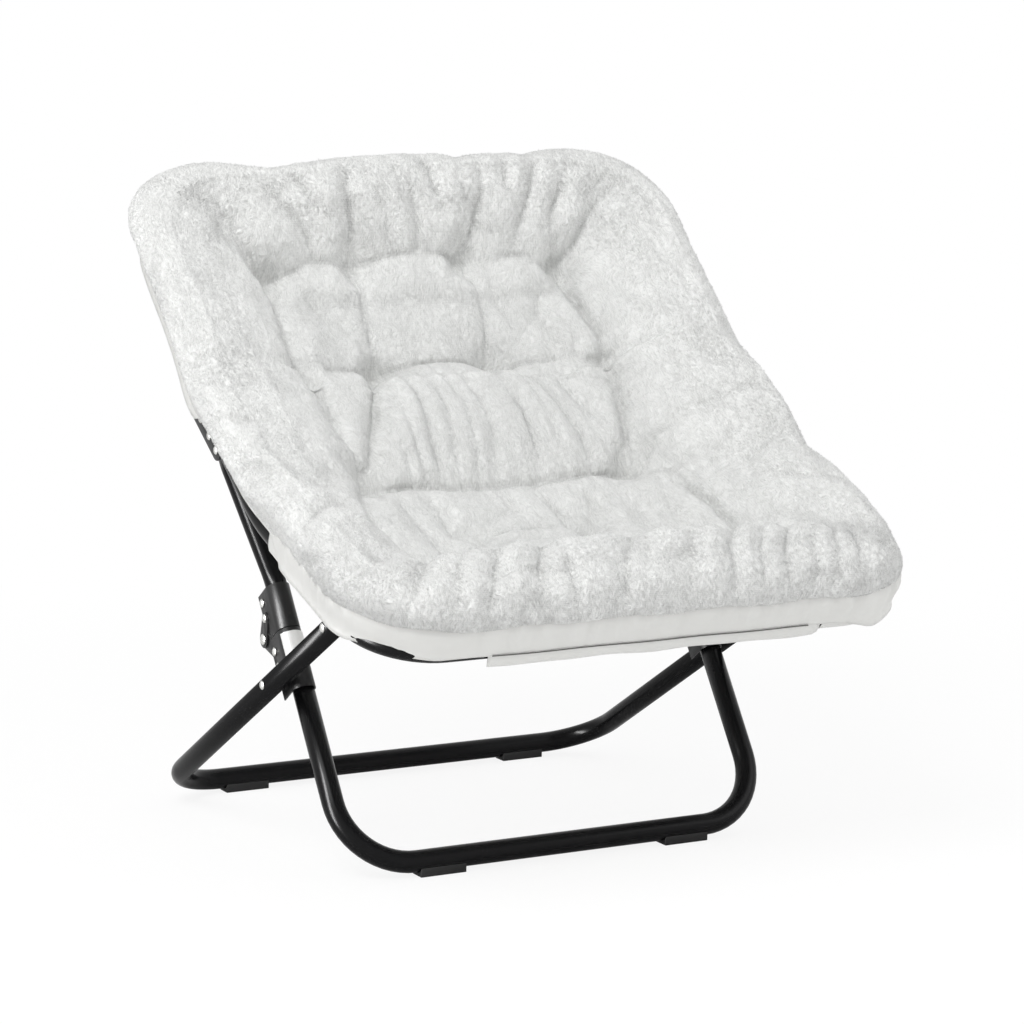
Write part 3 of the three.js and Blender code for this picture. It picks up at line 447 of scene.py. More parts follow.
ringWalk = walkRing()
outline = {  # soft pulls in millimetres: x, run, their reaches, then the shift in x, run and height
    "pulls": (
        (-350, 720, 100, 260, -16, 0, 0), (60, 880, 300, 100, 0, -3, -6),
        (-190, 880, 110, 110, 0, -7, -16), (-172, 880, 14, 50, 0, -2, -4),
        (70, 880, 14, 50, 0, -4, -6), (163, 880, 14, 50, 0, -4, -5),
        (345, 45, 70, 80, -11, 2, -10), (330, 0, 70, 50, 6, 4, 4),
        (-360, 420, 100, 110, -9, 0, 0), (360, 390, 100, 110, 13, 0, 0),
    ),
    "from": 0.020, "full": 0.050,
}


def onSaucer(x, run, height):  # places by the ring's side line, softly pulled
    share = easeStep((height - outline["from"]) / (outline["full"] - outline["from"]))
    moved = np.zeros((3, len(x)))
    for px, pr, reachX, reachRun, *shifts in np.array(outline["pulls"]) / 1000:
        weight = share * np.exp(-((x - px) / reachX) ** 2 - ((run - pr) / reachRun) ** 2)
        moved += np.outer(shifts, weight)
    x, run, height = x + moved[0], run + moved[1], height + moved[2]
    runs, ys, zs, angles = ringWalk
    angle = np.interp(run, runs, angles)
    y = np.interp(run, runs, ys) - np.sin(angle) * height
    z = np.interp(run, runs, zs) + np.cos(angle) * height
    return np.stack([x, y, z], axis=1)


def layOutline(u, v, edge):  # a square grid's u, v laid over the saucer's rounded outline, edge metres inside it
    wide = saucer["halfWidth"] - edge
    long = ringRun / 2 + saucer["overhang"] - edge
    safe = np.maximum(np.maximum(np.abs(u), np.abs(v)), 1e-9)
    cornerX = u / safe * wide
    cornerY = v / safe * long
    bend = np.minimum(np.maximum(saucer["corner"] - edge, wide / 3), wide)
    keptX = np.clip(cornerX, -(wide - bend), wide - bend)
    keptY = np.clip(cornerY, -(long - bend), long - bend)
    overX, overY = cornerX - keptX, cornerY - keptY
    scale = np.minimum(1, bend / np.maximum(np.hypot(overX, overY), 1e-9))
    return keptX + overX * scale, ringRun / 2 + keptY + overY * scale


def layCover(u, v, edge, full):  # the outline's rings near the rim, an even grid further in, and the way to the rim
    m = np.maximum(np.abs(u), np.abs(v))
    x, run = layOutline(u, v, edge)
    share = easeStep((m - saucer["evenFromShare"]) / saucer["evenOverShare"])
    long = ringRun / 2 + saucer["overhang"]
    x = x * share + u * full * (1 - share)
    run = run * share + (ringRun / 2 + v * (full + long - saucer["halfWidth"])) * (1 - share)
    outX = np.abs(x) - saucer["halfWidth"] + saucer["corner"]
    outY = np.abs(run - ringRun / 2) - long + saucer["corner"]
    real = saucer["corner"] - np.minimum(np.maximum(outX, outY), 0) - np.hypot(np.maximum(outX, 0), np.maximum(outY, 0))
    return x, run, edge * share + real * (1 - share)


def rimTurn(w):  # the distance walked in over the rim gives the edge distance and the rise
    rim = saucer["rim"]
    turn = rim * math.pi / 2
    edge = np.where(w < turn, rim * (1 - np.cos(np.minimum(w, turn) / rim)), w - turn + rim)
    rise = np.where(w < turn, rim * np.sin(np.minimum(w, turn) / rim), rim)
    return edge, rise


def topHeight(x, run, edge, rise):
    fromTop = ringRun + saucer["overhang"] - run
    hasty = saucer["rim"] + (np.minimum(fromTop, edge) - saucer["rim"]) * saucer["topHaste"]
    far = np.where(fromTop < saucer["topBand"], np.maximum(edge, hasty), edge)
    within = np.interp(far * 1000, *zip(*saucer["falls"])) / 1000
    fromFront = run + saucer["overhang"]
    frontness = easeStep(0.5 + (saucer["halfWidth"] - np.abs(x) - fromFront) / saucer["frontBlend"])
    frontWithin = np.interp(far * 1000, *zip(*saucer["frontFalls"])) / 1000
    within += (frontWithin - within) * frontness * (run < ringRun / 2)
    height = np.where(edge < saucer["rim"], saucer["rimHeight"] + rise, within)
    for wide, long, deep in tufts["places"]:
        away = np.hypot(np.abs(x) - wide, run - long) / tufts["spread"]
        height = height - deep * np.exp(-away ** 2)
    return height


def gridMesh(name, cells, flipped=False):  # a square grid with sides from -1 to 1, and its object
    bm = bmesh.new()
    bmesh.ops.create_grid(bm, x_segments=cells, y_segments=cells, size=1.0)
    if flipped:
        bmesh.ops.reverse_faces(bm, faces=bm.faces)
    mesh = bpy.data.meshes.new(name)
    bm.to_mesh(mesh)
    bm.free()
    piece = bpy.data.objects.new(name, mesh)
    scene.collection.objects.link(piece)
    return mesh, piece


def readValues(items, field, wide=3):
    flat = np.empty(len(items) * wide, dtype=np.float32)
    items.foreach_get(field, flat)
    return flat.reshape(-1, wide).astype(float)


def coordsOf(mesh):
    return readValues(mesh.vertices, "co")


def normalsOf(mesh):
    return readValues(mesh.vertex_normals, "vector")


def setCoords(mesh, co):
    mesh.vertices.foreach_set("co", np.ascontiguousarray(co, dtype=np.float32).ravel())
    mesh.update()


seams = {  # sewn lines in millimetres: x, run pairs on the right half, depth, fold height, spacing and reach
    "lines": (
        (((0, 700), (74, 698), (140, 692), (197, 683)), 12, 2.2, 34, 45),
        (((76, 566), (79, 630), (74, 698)), 12, 1.8, 26, 20),
        (((0, 570), (76, 566), (150, 560)), 14, 2, 30, 30),
        (((197, 683), (203, 605), (201, 528), (186, 450), (170, 370)), 9, 2.2, 31, 40),
        (((0, 374), (85, 374), (170, 370)), 20, 3, 30, 32),
        (((170, 370), (200, 330), (206, 250), (203, 183)), 8, 2.2, 30, 45),
        (((0, 176), (110, 176), (203, 183)), 5, 2.5, 31, 35),
        (((77, 292), (30, 292), (0, 292)), 5, 2, 24, 30),
    ),
    "width": 0.0075, "shoulder": 0.026, "shoulderShare": 0.55, "pinWidth": 0.0035, "inside": (0.050, 0.040),
}
bolster = {"run": (0.374, 0.566), "half": 0.168, "leftTop": 0.086, "rightTop": 0.120, "puff": 0.024,
           "fold": 0.0085, "spacing": 0.030}
rimFolds = {"height": 0.0006, "spacing": 0.036, "from": -0.02, "to": 0.050}
# valley and valleyShadeDepth set how wide and how deep a valley must be to get the painted shade in the pile's colour
plump = {"soft": 1.2, "radius": 0.009, "cell": 0.0045, "cells": 3, "valleyShade": 1.5, "valleyShadeDepth": 0.0028}
cloth = {"frames": 14, "grow": 0.022, "pressure": 0.7, "bend": 1.5, "stiff": 12.0, "cap": 0.016, "rimCap": 0.004}


def pleats(along, spacing, seed):  # rounded ridges between sharp valleys, unevenly spaced
    drift = np.sin(along * 2.1 / spacing + seed) * 0.5 + np.sin(along * 0.83 / spacing + seed * 2.7) * 1.1
    return np.abs(np.sin(along * math.pi / spacing + drift + seed)) - 0.64


def nearestOn(line, x, run):  # distance to a line given in millimetres, the way along it there, its side and length
    near = np.full(len(x), 1.0)
    along, lean = np.zeros(len(x)), np.zeros(len(x))
    passed = 0.0
    points = [(a / 1000, b / 1000) for a, b in line]
    for (x0, r0), (x1, r1) in zip(points[:-1], points[1:]):
        dx, dr = x1 - x0, r1 - r0
        span = math.hypot(dx, dr)
        t = np.clip(((x - x0) * dx + (run - r0) * dr) / span ** 2, 0, 1)
        gap = np.hypot(x - x0 - t * dx, run - r0 - t * dr)
        closer = gap < near
        along = np.where(closer, passed + t * span, along)
        lean = np.where(closer, np.sign((x - x0) * dr - (run - r0) * dx), lean)
        near = np.minimum(near, gap)
        passed += span
    return near, along, lean, passed


def seamShape(x, run):  # distance to the nearest sewn line, how deep the seams pull, and the folds beside them
    best, pull, folds = (np.full(len(x), value) for value in (1.0, 0.0, 0.0))
    for k, (line, *values) in enumerate(seams["lines"]):
        deep, fold, spacing, reach = (value / 1000 for value in values)
        near, along, _, _ = nearestOn(line, np.abs(x), run)
        along = along * np.where(x < 0, -1.0, 1.0)
        sharp = np.exp(-(near / seams["width"]) ** 2)
        wide = np.exp(-near / seams["shoulder"])
        pull = np.maximum(pull, deep * (sharp + (wide - sharp) * seams["shoulderShare"]))
        uneven = reach * (0.7 + 0.3 * np.sin(along * 43 + k * 2.1))
        folds += fold * pleats(along, spacing, 1.7 * k) * np.exp(-near / uneven) * (1 - np.exp(-near / 0.005))
        best = np.minimum(best, near)
    return best, pull, folds


creases = (  # soft folds in millimetres, each as its points x, run, then how deep it is and how wide
    (((-207, 693), (-228, 732), (-256, 772)), 7, 13), (((-126, 690), (-150, 741), (-186, 785)), 8, 14),
    (((-118, 735), (-140, 775), (-160, 800)), 6.5, 11), (((-80, 690), (-76, 730), (-86, 765), (-78, 792)), 10, 13),
    (((-36, 725), (-50, 765), (-64, 790)), 5, 12), (((6, 712), (12, 750)), 3.5, 12),
    (((40, 745), (28, 785), (20, 806)), 6.5, 11), (((62, 690), (84, 725), (94, 765), (96, 785)), 13, 14),
    (((68, 745), (64, 785)), 7, 10), (((126, 760), (130, 800)), 8, 10),
    (((148, 735), (164, 775), (174, 802)), 7.5, 12), (((183, 695), (187, 732), (206, 768)), 9, 12),
    (((201, 693), (237, 727), (274, 762)), 12, 14), (((226, 745), (268, 778)), 6, 11),
    (((-195, 687), (-188, 625), (-196, 570), (-176, 490), (-180, 425)), 11, 13),
    (((-188, 585), (-150, 640)), 5, 14), (((-170, 690), (-120, 610)), 5.5, 13),
    (((198, 690), (192, 640), (214, 545)), 11, 13), (((212, 545), (176, 552)), 7, 10),
    (((200, 530), (182, 450), (160, 362)), 11, 13), (((100, 520), (118, 440), (130, 366)), 9.5, 12),
    (((-80, 568), (-112, 490), (-146, 425), (-172, 372)), 13, 12), (((90, 680), (110, 620), (112, 580)), 6, 13),
    (((170, 675), (150, 620), (160, 575)), 5, 14), (((178, 366), (212, 396)), 8.5, 11),
    (((-96, 268), (-40, 312), (-6, 330)), 8, 12), (((-96, 268), (-86, 320), (-104, 356)), 7, 14),
    (((-92, 268), (-30, 287), (30, 298)), 7, 10), (((-90, 262), (-30, 256), (20, 258)), 5, 10),
    (((40, 352), (66, 290), (74, 268)), 9, 12), (((74, 268), (96, 320), (100, 352)), 8, 12),
    (((-198, 197), (-214, 230), (-210, 290), (-180, 350)), 8, 15),
    (((-342, 172), (-303, 200), (-270, 225)), 6.5, 11), (((199, 300), (206, 242), (203, 178)), 10, 10),
    (((320, 412), (282, 408), (240, 410), (196, 386)), 4.5, 16), (((-330, 402), (-296, 390)), 4, 12),
    (((-322, 52), (-290, 90), (-240, 125)), 5, 13), (((-290, 4), (-245, 65), (-190, 130)), 7, 12),
    (((-250, -12), (-215, 45), (-170, 120)), 6.5, 12), (((-213, -20), (-190, 20), (-160, 70)), 7.5, 13),
    (((-150, -22), (-138, 20), (-95, 90)), 8, 12), (((-112, -22), (-108, 10), (-100, 40)), 4.5, 11),
    (((-50, -22), (-40, 10), (4, 85)), 8, 13), (((-14, 10), (12, 70)), 5, 12),
    (((30, -18), (40, 12), (60, 50)), 3.5, 12), (((80, -22), (90, 16), (135, 95)), 7, 12),
    (((115, -22), (126, 16), (165, 90)), 6, 10), (((148, -22), (158, 18), (200, 92)), 7.5, 11),
    (((180, -22), (192, 20), (226, 80)), 6, 10), (((207, -20), (222, 22), (252, 78)), 8, 11),
    (((236, -14), (252, 28), (278, 70)), 6, 10), (((318, 48), (300, 78), (262, 110)), 4.5, 14),
    (((262, 242), (300, 196), (330, 168)), 3.5, 14),
)
creaseLook = {"steep": 0.75, "gentle": 1.3, "bank": 0.42, "bankAt": 1.9, "bankWide": 1.2}


def softCreases(x, run):  # one steep side and one round side to each fold, fading out at its ends
    look, total = creaseLook, np.zeros(len(x))
    for line, deep, wide in creases:
        near, along, lean, whole = nearestOn(line, x, run)
        deep, wide = deep / 1000, wide / 1000
        fade = np.sin(np.clip(along / whole * 0.86 + 0.12, 0, 1) * math.pi) ** 0.5
        breadth = wide * np.where(lean > 0, look["steep"], look["gentle"])
        bank = look["bank"] * np.exp(-((near / wide - look["bankAt"]) / look["bankWide"]) ** 2)
        total += deep * fade * (bank - np.exp(-(near / breadth) ** 1.5))
    return total


def starFolds(x, run):  # folds that run out from each tuft
    total = np.zeros(len(x))
    for k, (wide, long, _) in enumerate(tufts["places"]):
        for side in (-1, 1):
            away = np.hypot(x - side * wide, run - long)
            turn = np.arctan2(run - long, x - side * wide)
            ridge = np.abs(np.sin(turn * tufts["folds"] / 2 + k * 1.3 + side + 0.5 * np.sin(turn * 2 + k))) - 0.64
            total += tufts["fold"] * ridge * np.exp(-away / tufts["reach"]) * (1 - np.exp(-away / tufts["hole"]))
    return total


def bolsterShape(x, run):
    low, high = bolster["run"]
    along = np.clip((run - low) / (high - low), 0, 1)
    top = np.where(x < 0, bolster["leftTop"], bolster["rightTop"])
    across = np.clip(1 - (np.abs(x) / (bolster["half"] + (top - bolster["half"]) * along)) ** 4, 0, 1)
    rise = np.sin(along * math.pi)
    wander = x + 0.004 * np.sin(run * 37 + x * 21) + 0.010 * x * np.cos(along * math.pi * 2)
    folds = bolster["fold"] * pleats(wander, bolster["spacing"], 0.6) * rise ** 0.7
    return bolster["puff"] * rise * across, folds * across


def aroundOutline(u, v):  # metres round the outline from the middle of its right side
    m = np.maximum(np.maximum(np.abs(u), np.abs(v)), 1e-9)
    long, wide = ringRun / 2, saucer["halfWidth"]
    sign = np.where(v > 0, 1.0, -1.0)
    upright = np.where(u > 0, long * v / m, sign * (long + 2 * wide) - long * v / m)
    return np.where(np.abs(u) >= np.abs(v), upright, sign * (long + wide * (1 - u / m)))


def growCloth(piece, pinned):  # slack cloth that puckers between the sewn lines
    group = piece.vertex_groups.new(name="sewn")
    group.add([int(i) for i in np.nonzero(pinned)[0]], 1.0, "REPLACE")
    mod = piece.modifiers.new("cloth", "CLOTH")
    settings = {
        "quality": 5, "mass": 0.15, "tension_stiffness": cloth["stiff"], "compression_stiffness": cloth["stiff"],
        "shear_stiffness": cloth["stiff"] / 2, "bending_stiffness": cloth["bend"], "air_damping": 6,
        "vertex_group_mass": "sewn", "shrink_min": -cloth["grow"], "use_pressure": True,
        "uniform_pressure_force": cloth["pressure"],
    }
    for key, value in settings.items():
        setattr(mod.settings, key, value)
    mod.settings.effector_weights.gravity = 0
    mod.collision_settings.use_collision = False
    mod.point_cache.frame_start = 1
    mod.point_cache.frame_end = cloth["frames"] + 1
    for frameNumber in range(1, cloth["frames"] + 1):
        scene.frame_set(frameNumber)
    done = piece.evaluated_get(bpy.context.evaluated_depsgraph_get())
    moved = coordsOf(done.data).copy()
    piece.modifiers.remove(mod)
    piece.vertex_groups.remove(group)
    scene.frame_set(1)
    return moved


def softened(values, sigma):  # the grid's values blurred over sigma cells
    span = saucer["cells"] + 1
    rows = values.reshape(span, span, -1)
    reach = int(math.ceil(sigma * 2.5))
    steps = np.arange(-reach, reach + 1)
    weights = np.exp(-0.5 * (steps / sigma) ** 2)
    weights /= weights.sum()
    for axis in (0, 1):
        padded = np.pad(rows, [(reach, reach) if a == axis else (0, 0) for a in range(3)], mode="edge")
        rows = sum(k * np.take(padded, range(reach + s, reach + s + span), axis=axis) for k, s in zip(weights, steps))
    return rows.reshape(values.shape)


def plumped(height):  # thick pile rounds every ridge and leaves the valleys narrow
    span, edge, radius = saucer["cells"] + 1, plump["cells"], plump["radius"]
    rows = height.reshape(span, span)
    padded = np.pad(rows, edge, mode="edge")
    best = rows.copy()
    for i, j in np.ndindex(2 * edge + 1, 2 * edge + 1):
        gap = math.hypot(i - edge, j - edge) * plump["cell"]
        if gap < radius:
            best = np.maximum(best, padded[i:i + span, j:j + span] + math.sqrt(radius ** 2 - gap ** 2) - radius)
    return best.ravel()


fallsTotal = saucer["halfWidth"] + (math.pi / 2 - 1) * saucer["rim"]
coverMesh, plushCover = gridMesh("plushCover", saucer["cells"])
u, v = coordsOf(coverMesh)[:, :2].T
frontShare = easeStep((-v - 0.45) / 0.45)
sideShare = easeStep((np.abs(u) - np.abs(v)) / 0.15) * (1 - frontShare)
wrapAngle = saucer["wrap"] + (saucer["frontWrap"] - saucer["wrap"]) * frontShare
wrapAngle += (saucer["sideWrap"] - saucer["wrap"]) * sideShare + 3 * np.sin(u * 19 + 1.3) * frontShare
wrapRun = np.radians(wrapAngle) * saucer["rim"]
m = np.maximum(np.abs(u), np.abs(v))
w = (1 - m) * (fallsTotal + wrapRun) - wrapRun  # metres in over the rim from its outermost line
edge, rise = rimTurn(w)
x, run, edge = layCover(u, v, edge, fallsTotal + wrapRun.max())
near, pull, folds = seamShape(x, run)
puff, bolsterFolds = bolsterShape(x, run)
setCoords(coverMesh, onSaucer(x, run, topHeight(x, run, edge, rise)))
bowl, bowlNormals = coordsOf(coverMesh), normalsOf(coverMesh)
rimBand = easeStep((w - rimFolds["from"]) / 0.02) * easeStep((rimFolds["to"] - w) / 0.05) * (0.35 + 0.65 * frontShare)
inside = easeStep((w - seams["inside"][0]) / seams["inside"][1])
height = puff - pull
shift = np.zeros((len(bowl), 3))
base = bowl + bowlNormals * height[:, None]
setCoords(coverMesh, base)
pinned = (near < seams["pinWidth"]) | (w < -wrapRun * 0.3)
for wide, long, _ in tufts["places"]:
    pinned |= np.hypot(np.abs(x) - wide, run - long) < tufts["hole"]
shift = growCloth(plushCover, pinned) - base
length = np.maximum(np.linalg.norm(shift, axis=1), 1e-9)
cap = cloth["rimCap"] + (cloth["cap"] - cloth["rimCap"]) * easeStep((w - 0.02) / 0.08)
shift = softened(shift * (cap * np.tanh(length / cap) / length)[:, None], plump["soft"])
print("cloth settled", round(float(length.mean()) * 1000, 1), "mm mean")
height += (folds + starFolds(x, run)) * inside + bolsterFolds + softCreases(x, run) * easeStep((w + 0.004) / 0.030)
height += rimFolds["height"] * rimBand * pleats(aroundOutline(u, v), rimFolds["spacing"], 0.4)
swell = (shift * bowlNormals).sum(axis=1)
height += swell
height += (plumped(height) - height) * (0.2 + 0.8 * easeStep((w - 0.030) / 0.050))
# painted shade: this mask darkens the pile's colour along the narrow valleys, standing in for the shade in the creases,
# partly also the darker pile roots seen there
valleyShade = np.clip((softened(height, plump["valleyShade"]) - height) / plump["valleyShadeDepth"], 0, 1)
setCoords(coverMesh, bowl + bowlNormals * (height - swell)[:, None] + shift)

pile = {"length": 0.0012, "rimLength": 0.0022, "lean": 0.15, "spread": 0.28, "clump": 0.0009, "clumpSize": 0.0068,
        "seed": 7, "swirls": ((0, 61, 1, 47, 0.0), (1, 53, 2, 71, 0.0), (2, 57, 0, 43, -0.5))}


def storeValues(mesh, name, values):
    vectors = values.ndim == 2
    field = mesh.attributes.new(name, "FLOAT_VECTOR" if vectors else "FLOAT", "POINT")
    field.data.foreach_set("vector" if vectors else "value", np.ascontiguousarray(values, dtype=np.float32).ravel())


def growPile(mesh):  # every small face is poked up into a leaning tuft of pile, fluffier on the rim
    bm = bmesh.new()
    bm.from_mesh(mesh)
    bmesh.ops.subdivide_edges(bm, edges=list(bm.edges), cuts=1, use_grid_fill=True, smooth=0.6)
    bm.normal_update()
    share = bm.verts.layers.float["rimShare"]
    for vertex in bm.verts:
        spot = vertex.co / pile["clumpSize"]
        clump = noise.noise(spot) + 0.5 * noise.noise(spot * 2.3)
        vertex.co += vertex.normal * clump * pile["clump"] * (0.25 + vertex[share])
    poked = bmesh.ops.poke(bm, faces=list(bm.faces), offset=pile["length"], center_mode="MEAN_WEIGHTED",
                           use_relative_offset=False)
    bm.verts.index_update()
    tips = np.array([v.index for v in poked["verts"]])
    bm.to_mesh(mesh)
    bm.free()
    return tips


rimShare = easeStep((0.150 - w) / 0.080) * (0.25 + 0.75 * easeStep((w - 0.010) / 0.035))
storeValues(coverMesh, "rimShare", rimShare)
storeValues(coverMesh, "valleyShade", valleyShade)
# painted light: this mask brightens the pile's colour towards the rim, standing in for the rims catching more light
storeValues(coverMesh, "paintedRimLight", easeStep((0.170 - w) / 0.100))
storeValues(coverMesh, "pilePlace", np.stack([x, run, w], axis=1))
tips = growPile(coverMesh)
coords = coordsOf(coverMesh)
draw = np.random.default_rng(pile["seed"])
tipAt = coords[tips].T
fluff = readValues(coverMesh.attributes["rimShare"].data, "value", 1)[tips]
reach = pile["length"] + (pile["rimLength"] - pile["length"]) * fluff
swirl = np.stack([np.sin(tipAt[a] * wave + np.sin(tipAt[b] * second) * 2) + drop
                  for a, wave, b, second, drop in pile["swirls"]], axis=1)
coords[tips] += reach * swirl * pile["lean"] + pile["spread"] * reach * draw.normal(0, 1, (len(tips), 3))
coords[tips] += normalsOf(coverMesh)[tips] * (reach - pile["length"])
setCoords(coverMesh, coords)
tipValue = np.zeros(len(coords))
tipValue[tips] = 1.0
storeValues(coverMesh, "pileTip", tipValue)

plushLook = {
    # the rim tip colour is brighter as painted light, for the rims catching more light
    "root": (0.62, 0.625, 0.612), "tip": (0.79, 0.795, 0.783), "paintedRimLightTip": (0.92, 0.925, 0.912), "rough": 0.85,
    # valley sets how strongly the painted shade darkens the pile's colour in the valleys
    "sheen": 0.25, "valleyShade": 0.55, "fibre": (600.0, 150.0, 150.0), "drift": 0.030, "clump": 110.0,
    "clumpShare": 0.34, "tipShare": 0.45, "bump": 0.65, "bumpHeight": 0.0012,
}


def makePlush(look):
    material, tree, shader = newMaterial("plushPile", {
        "Roughness": look["rough"], "Specular IOR Level": 0.05, "Sheen Weight": look["sheen"], "Sheen Roughness": 0.5})
    names = ("pilePlace", "pileTip", "paintedRimLight", "valleyShade")
    place, tip, paintedRimLight, valleyShade = (addNode(tree, "Attribute", attribute_name=name) for name in names)
    drift = addNode(tree, "TexNoise", {"Scale": 34.0, "Detail": 2.0})
    bent = addNode(tree, "VectorMath", {1: (look["drift"],) * 3}, operation="MULTIPLY_ADD")
    stretch = addNode(tree, "VectorMath", {1: look["fibre"]}, operation="MULTIPLY")
    fibre = addNode(tree, "TexNoise", {"Scale": 1.0, "Detail": 4.0, "Roughness": 0.65})
    clumps = addNode(tree, "TexNoise", {"Scale": look["clump"], "Detail": 4.0, "Roughness": 0.7})
    sharp = addNode(tree, "MapRange", {"From Min": 0.34, "From Max": 0.66})
    tone = addNode(tree, "Math", {1: look["clumpShare"]}, operation="MULTIPLY_ADD")
    part = addNode(tree, "Math", {1: look["tipShare"]}, operation="MULTIPLY_ADD")
    # painted shade: along the valleys the colour is pulled towards the root tone
    shade = addNode(tree, "Math", {1: -look["valleyShade"]}, operation="MULTIPLY_ADD")
    # painted light: near the rim the tips take the brighter rim tip colour
    tipMix = addMix(tree, look["tip"], look["paintedRimLightTip"])
    mix = addMix(tree, look["root"], look["tip"])
    bump = addNode(tree, "Bump", {"Strength": look["bump"], "Distance": look["bumpHeight"]})
    wire(tree, (place, "Vector", drift, "Vector"), (drift, "Color", bent, 0), (place, "Vector", bent, 2),
         (bent, 0, stretch, 0), (stretch, 0, fibre, "Vector"), (place, "Vector", clumps, "Vector"),
         (clumps, "Fac", tone, 0), (fibre, "Fac", sharp, "Value"), (sharp, "Result", tone, 2),
         (paintedRimLight, "Fac", tipMix, 0), (tipMix, 2, mix, 7), (tip, "Fac", part, 0), (tone, 0, part, 2),
         (valleyShade, "Fac", shade, 0), (part, 0, shade, 2), (shade, 0, mix, 0), (tone, 0, bump, "Height"),
         (mix, 2, shader, "Base Color"), (bump, "Normal", shader, "Normal"))
    return material


coverMesh.materials.append(makePlush(plushLook))
coverMesh.shade_smooth()

# the smooth lining under the saucer, from the cover's lower edge to the belly
lining = {"path": ((4, 50), (6, 36), (10, 24), (17, 16), (26, 12.8),
                   (36, 12), (46, 10.5), (58, 3), (85, -8), (125, -33),
                   (170, -58), (210, -70), (400, -76)),
          "colour": (0.68, 0.68, 0.66), "darker": 0.93, "rough": 0.62, "weave": 1500.0, "depth": 0.25, "spread": 0.15}


def makeLining(look):
    material, tree, shader = newMaterial("liningCloth", {"Sheen Weight": 0.1})
    coords = addGrain(tree, shader, look["weave"], look["depth"], look["rough"], look["spread"])
    tone = addNode(tree, "TexNoise", {"Scale": 9.0, "Detail": 3.0})
    mix = addMix(tree, look["colour"], [c * look["darker"] for c in look["colour"]])
    wire(tree, (coords, "Object", tone, "Vector"), (tone, "Fac", mix, 0), (mix, 2, shader, "Base Color"))
    return material


def alongPath(path):  # a cross-section's edge distances and heights from millimetres, and the way along it
    edges, heights = np.array(path).T / 1000
    return edges, heights, summed(np.hypot(np.diff(edges), np.diff(heights)))


liningMaterial = makeLining(lining)
underMesh, saucerLining = gridMesh("saucerLining", saucer["underCells"], flipped=True)
u, v = coordsOf(underMesh)[:, :2].T
edges, heights, walk = alongPath(lining["path"])
underRun = (1 - np.maximum(np.abs(u), np.abs(v))) * np.interp(saucer["halfWidth"], edges, walk)
x, run = layOutline(u, v, np.interp(underRun, walk, edges))
setCoords(underMesh, onSaucer(x, run, np.interp(underRun, walk, heights)))
underMesh.materials.append(liningMaterial)
underMesh.shade_smooth()

# the lining's skirt under the pile, and the sleeves that the ring runs through
skirt = {
    "path": ((7.5, 44), (4.5, 37), (3.2, 29), (4.8, 19), (8, 9),
             (9.5, 1), (8.2, -6)),
    "length": 0.0018, "gather": 0.0062, "spacing": 0.027, "thick": 0.0012, "steps": 420, "ripple": 0.0006,
    "cutAtHinge": 0.62, "cutAtLeft": 0.10, "cutAtFront": 0.14, "hingeRuns": (0.250, 0.455),
    "rightDrop": 0.0050, "rightOut": 0.0035, "platesOut": 0.004, "platesRun": 0.500, "platesReach": 0.035,
}
sleeves = {
    "path": ((12.2, 15), (11.6, 7), (11.8, -1), (14, -8.5), (19, -12.8),
             (25, -13.8), (32, -11.8), (37, -5), (38.2, 4), (39.2, 10.5)),
    "sag": 0.0065, "ripple": 0.0010, "thick": 0.0012, "seatEnd": 0.262, "backEnd": 0.560, "sideInset": 0.092,
    "frontHalf": 0.210, "gap": 0.004,
}


def borderPoint(t):  # u, v on the grid's border, t metres round the outline from the middle of the right side
    long, wide = ringRun / 2, saucer["halfWidth"]
    far = np.abs(t)
    sign = np.where(t < 0, -1.0, 1.0)
    u = np.where(far < long, 1.0, np.where(far < long + 2 * wide, 1 - (far - long) / wide, -1.0))
    v = np.where(far < long, far / long, np.where(far < long + 2 * wide, 1.0, 1 - (far - long - 2 * wide) / long))
    return u, v * sign


def wrapRing(name, start, end, path, steps, shape, thick):  # cloth laid along the ring from start to end
    bm = bmesh.new()
    bmesh.ops.create_grid(bm, x_segments=steps, y_segments=12, size=1.0)
    places = np.array([vertex.co for vertex in bm.verts])
    t = start + (end - start) * (places[:, 0] + 1) / 2
    edges, heights, walk = alongPath(path)
    across, lift, out = shape(t, (places[:, 1] + 1) / 2)
    edge = np.interp(across * walk[-1], walk, edges)
    height = np.interp(across * walk[-1], walk, heights)
    x, run = layOutline(*borderPoint(t), edge - out)
    for vertex, place in zip(bm.verts, onSaucer(x, run, height + lift)):
        vertex.co = place
    bm.normal_update()
    bmesh.ops.solidify(bm, geom=list(bm.faces), thickness=thick)
    bmesh.ops.recalc_face_normals(bm, faces=bm.faces)
    return bm, walk[-1]


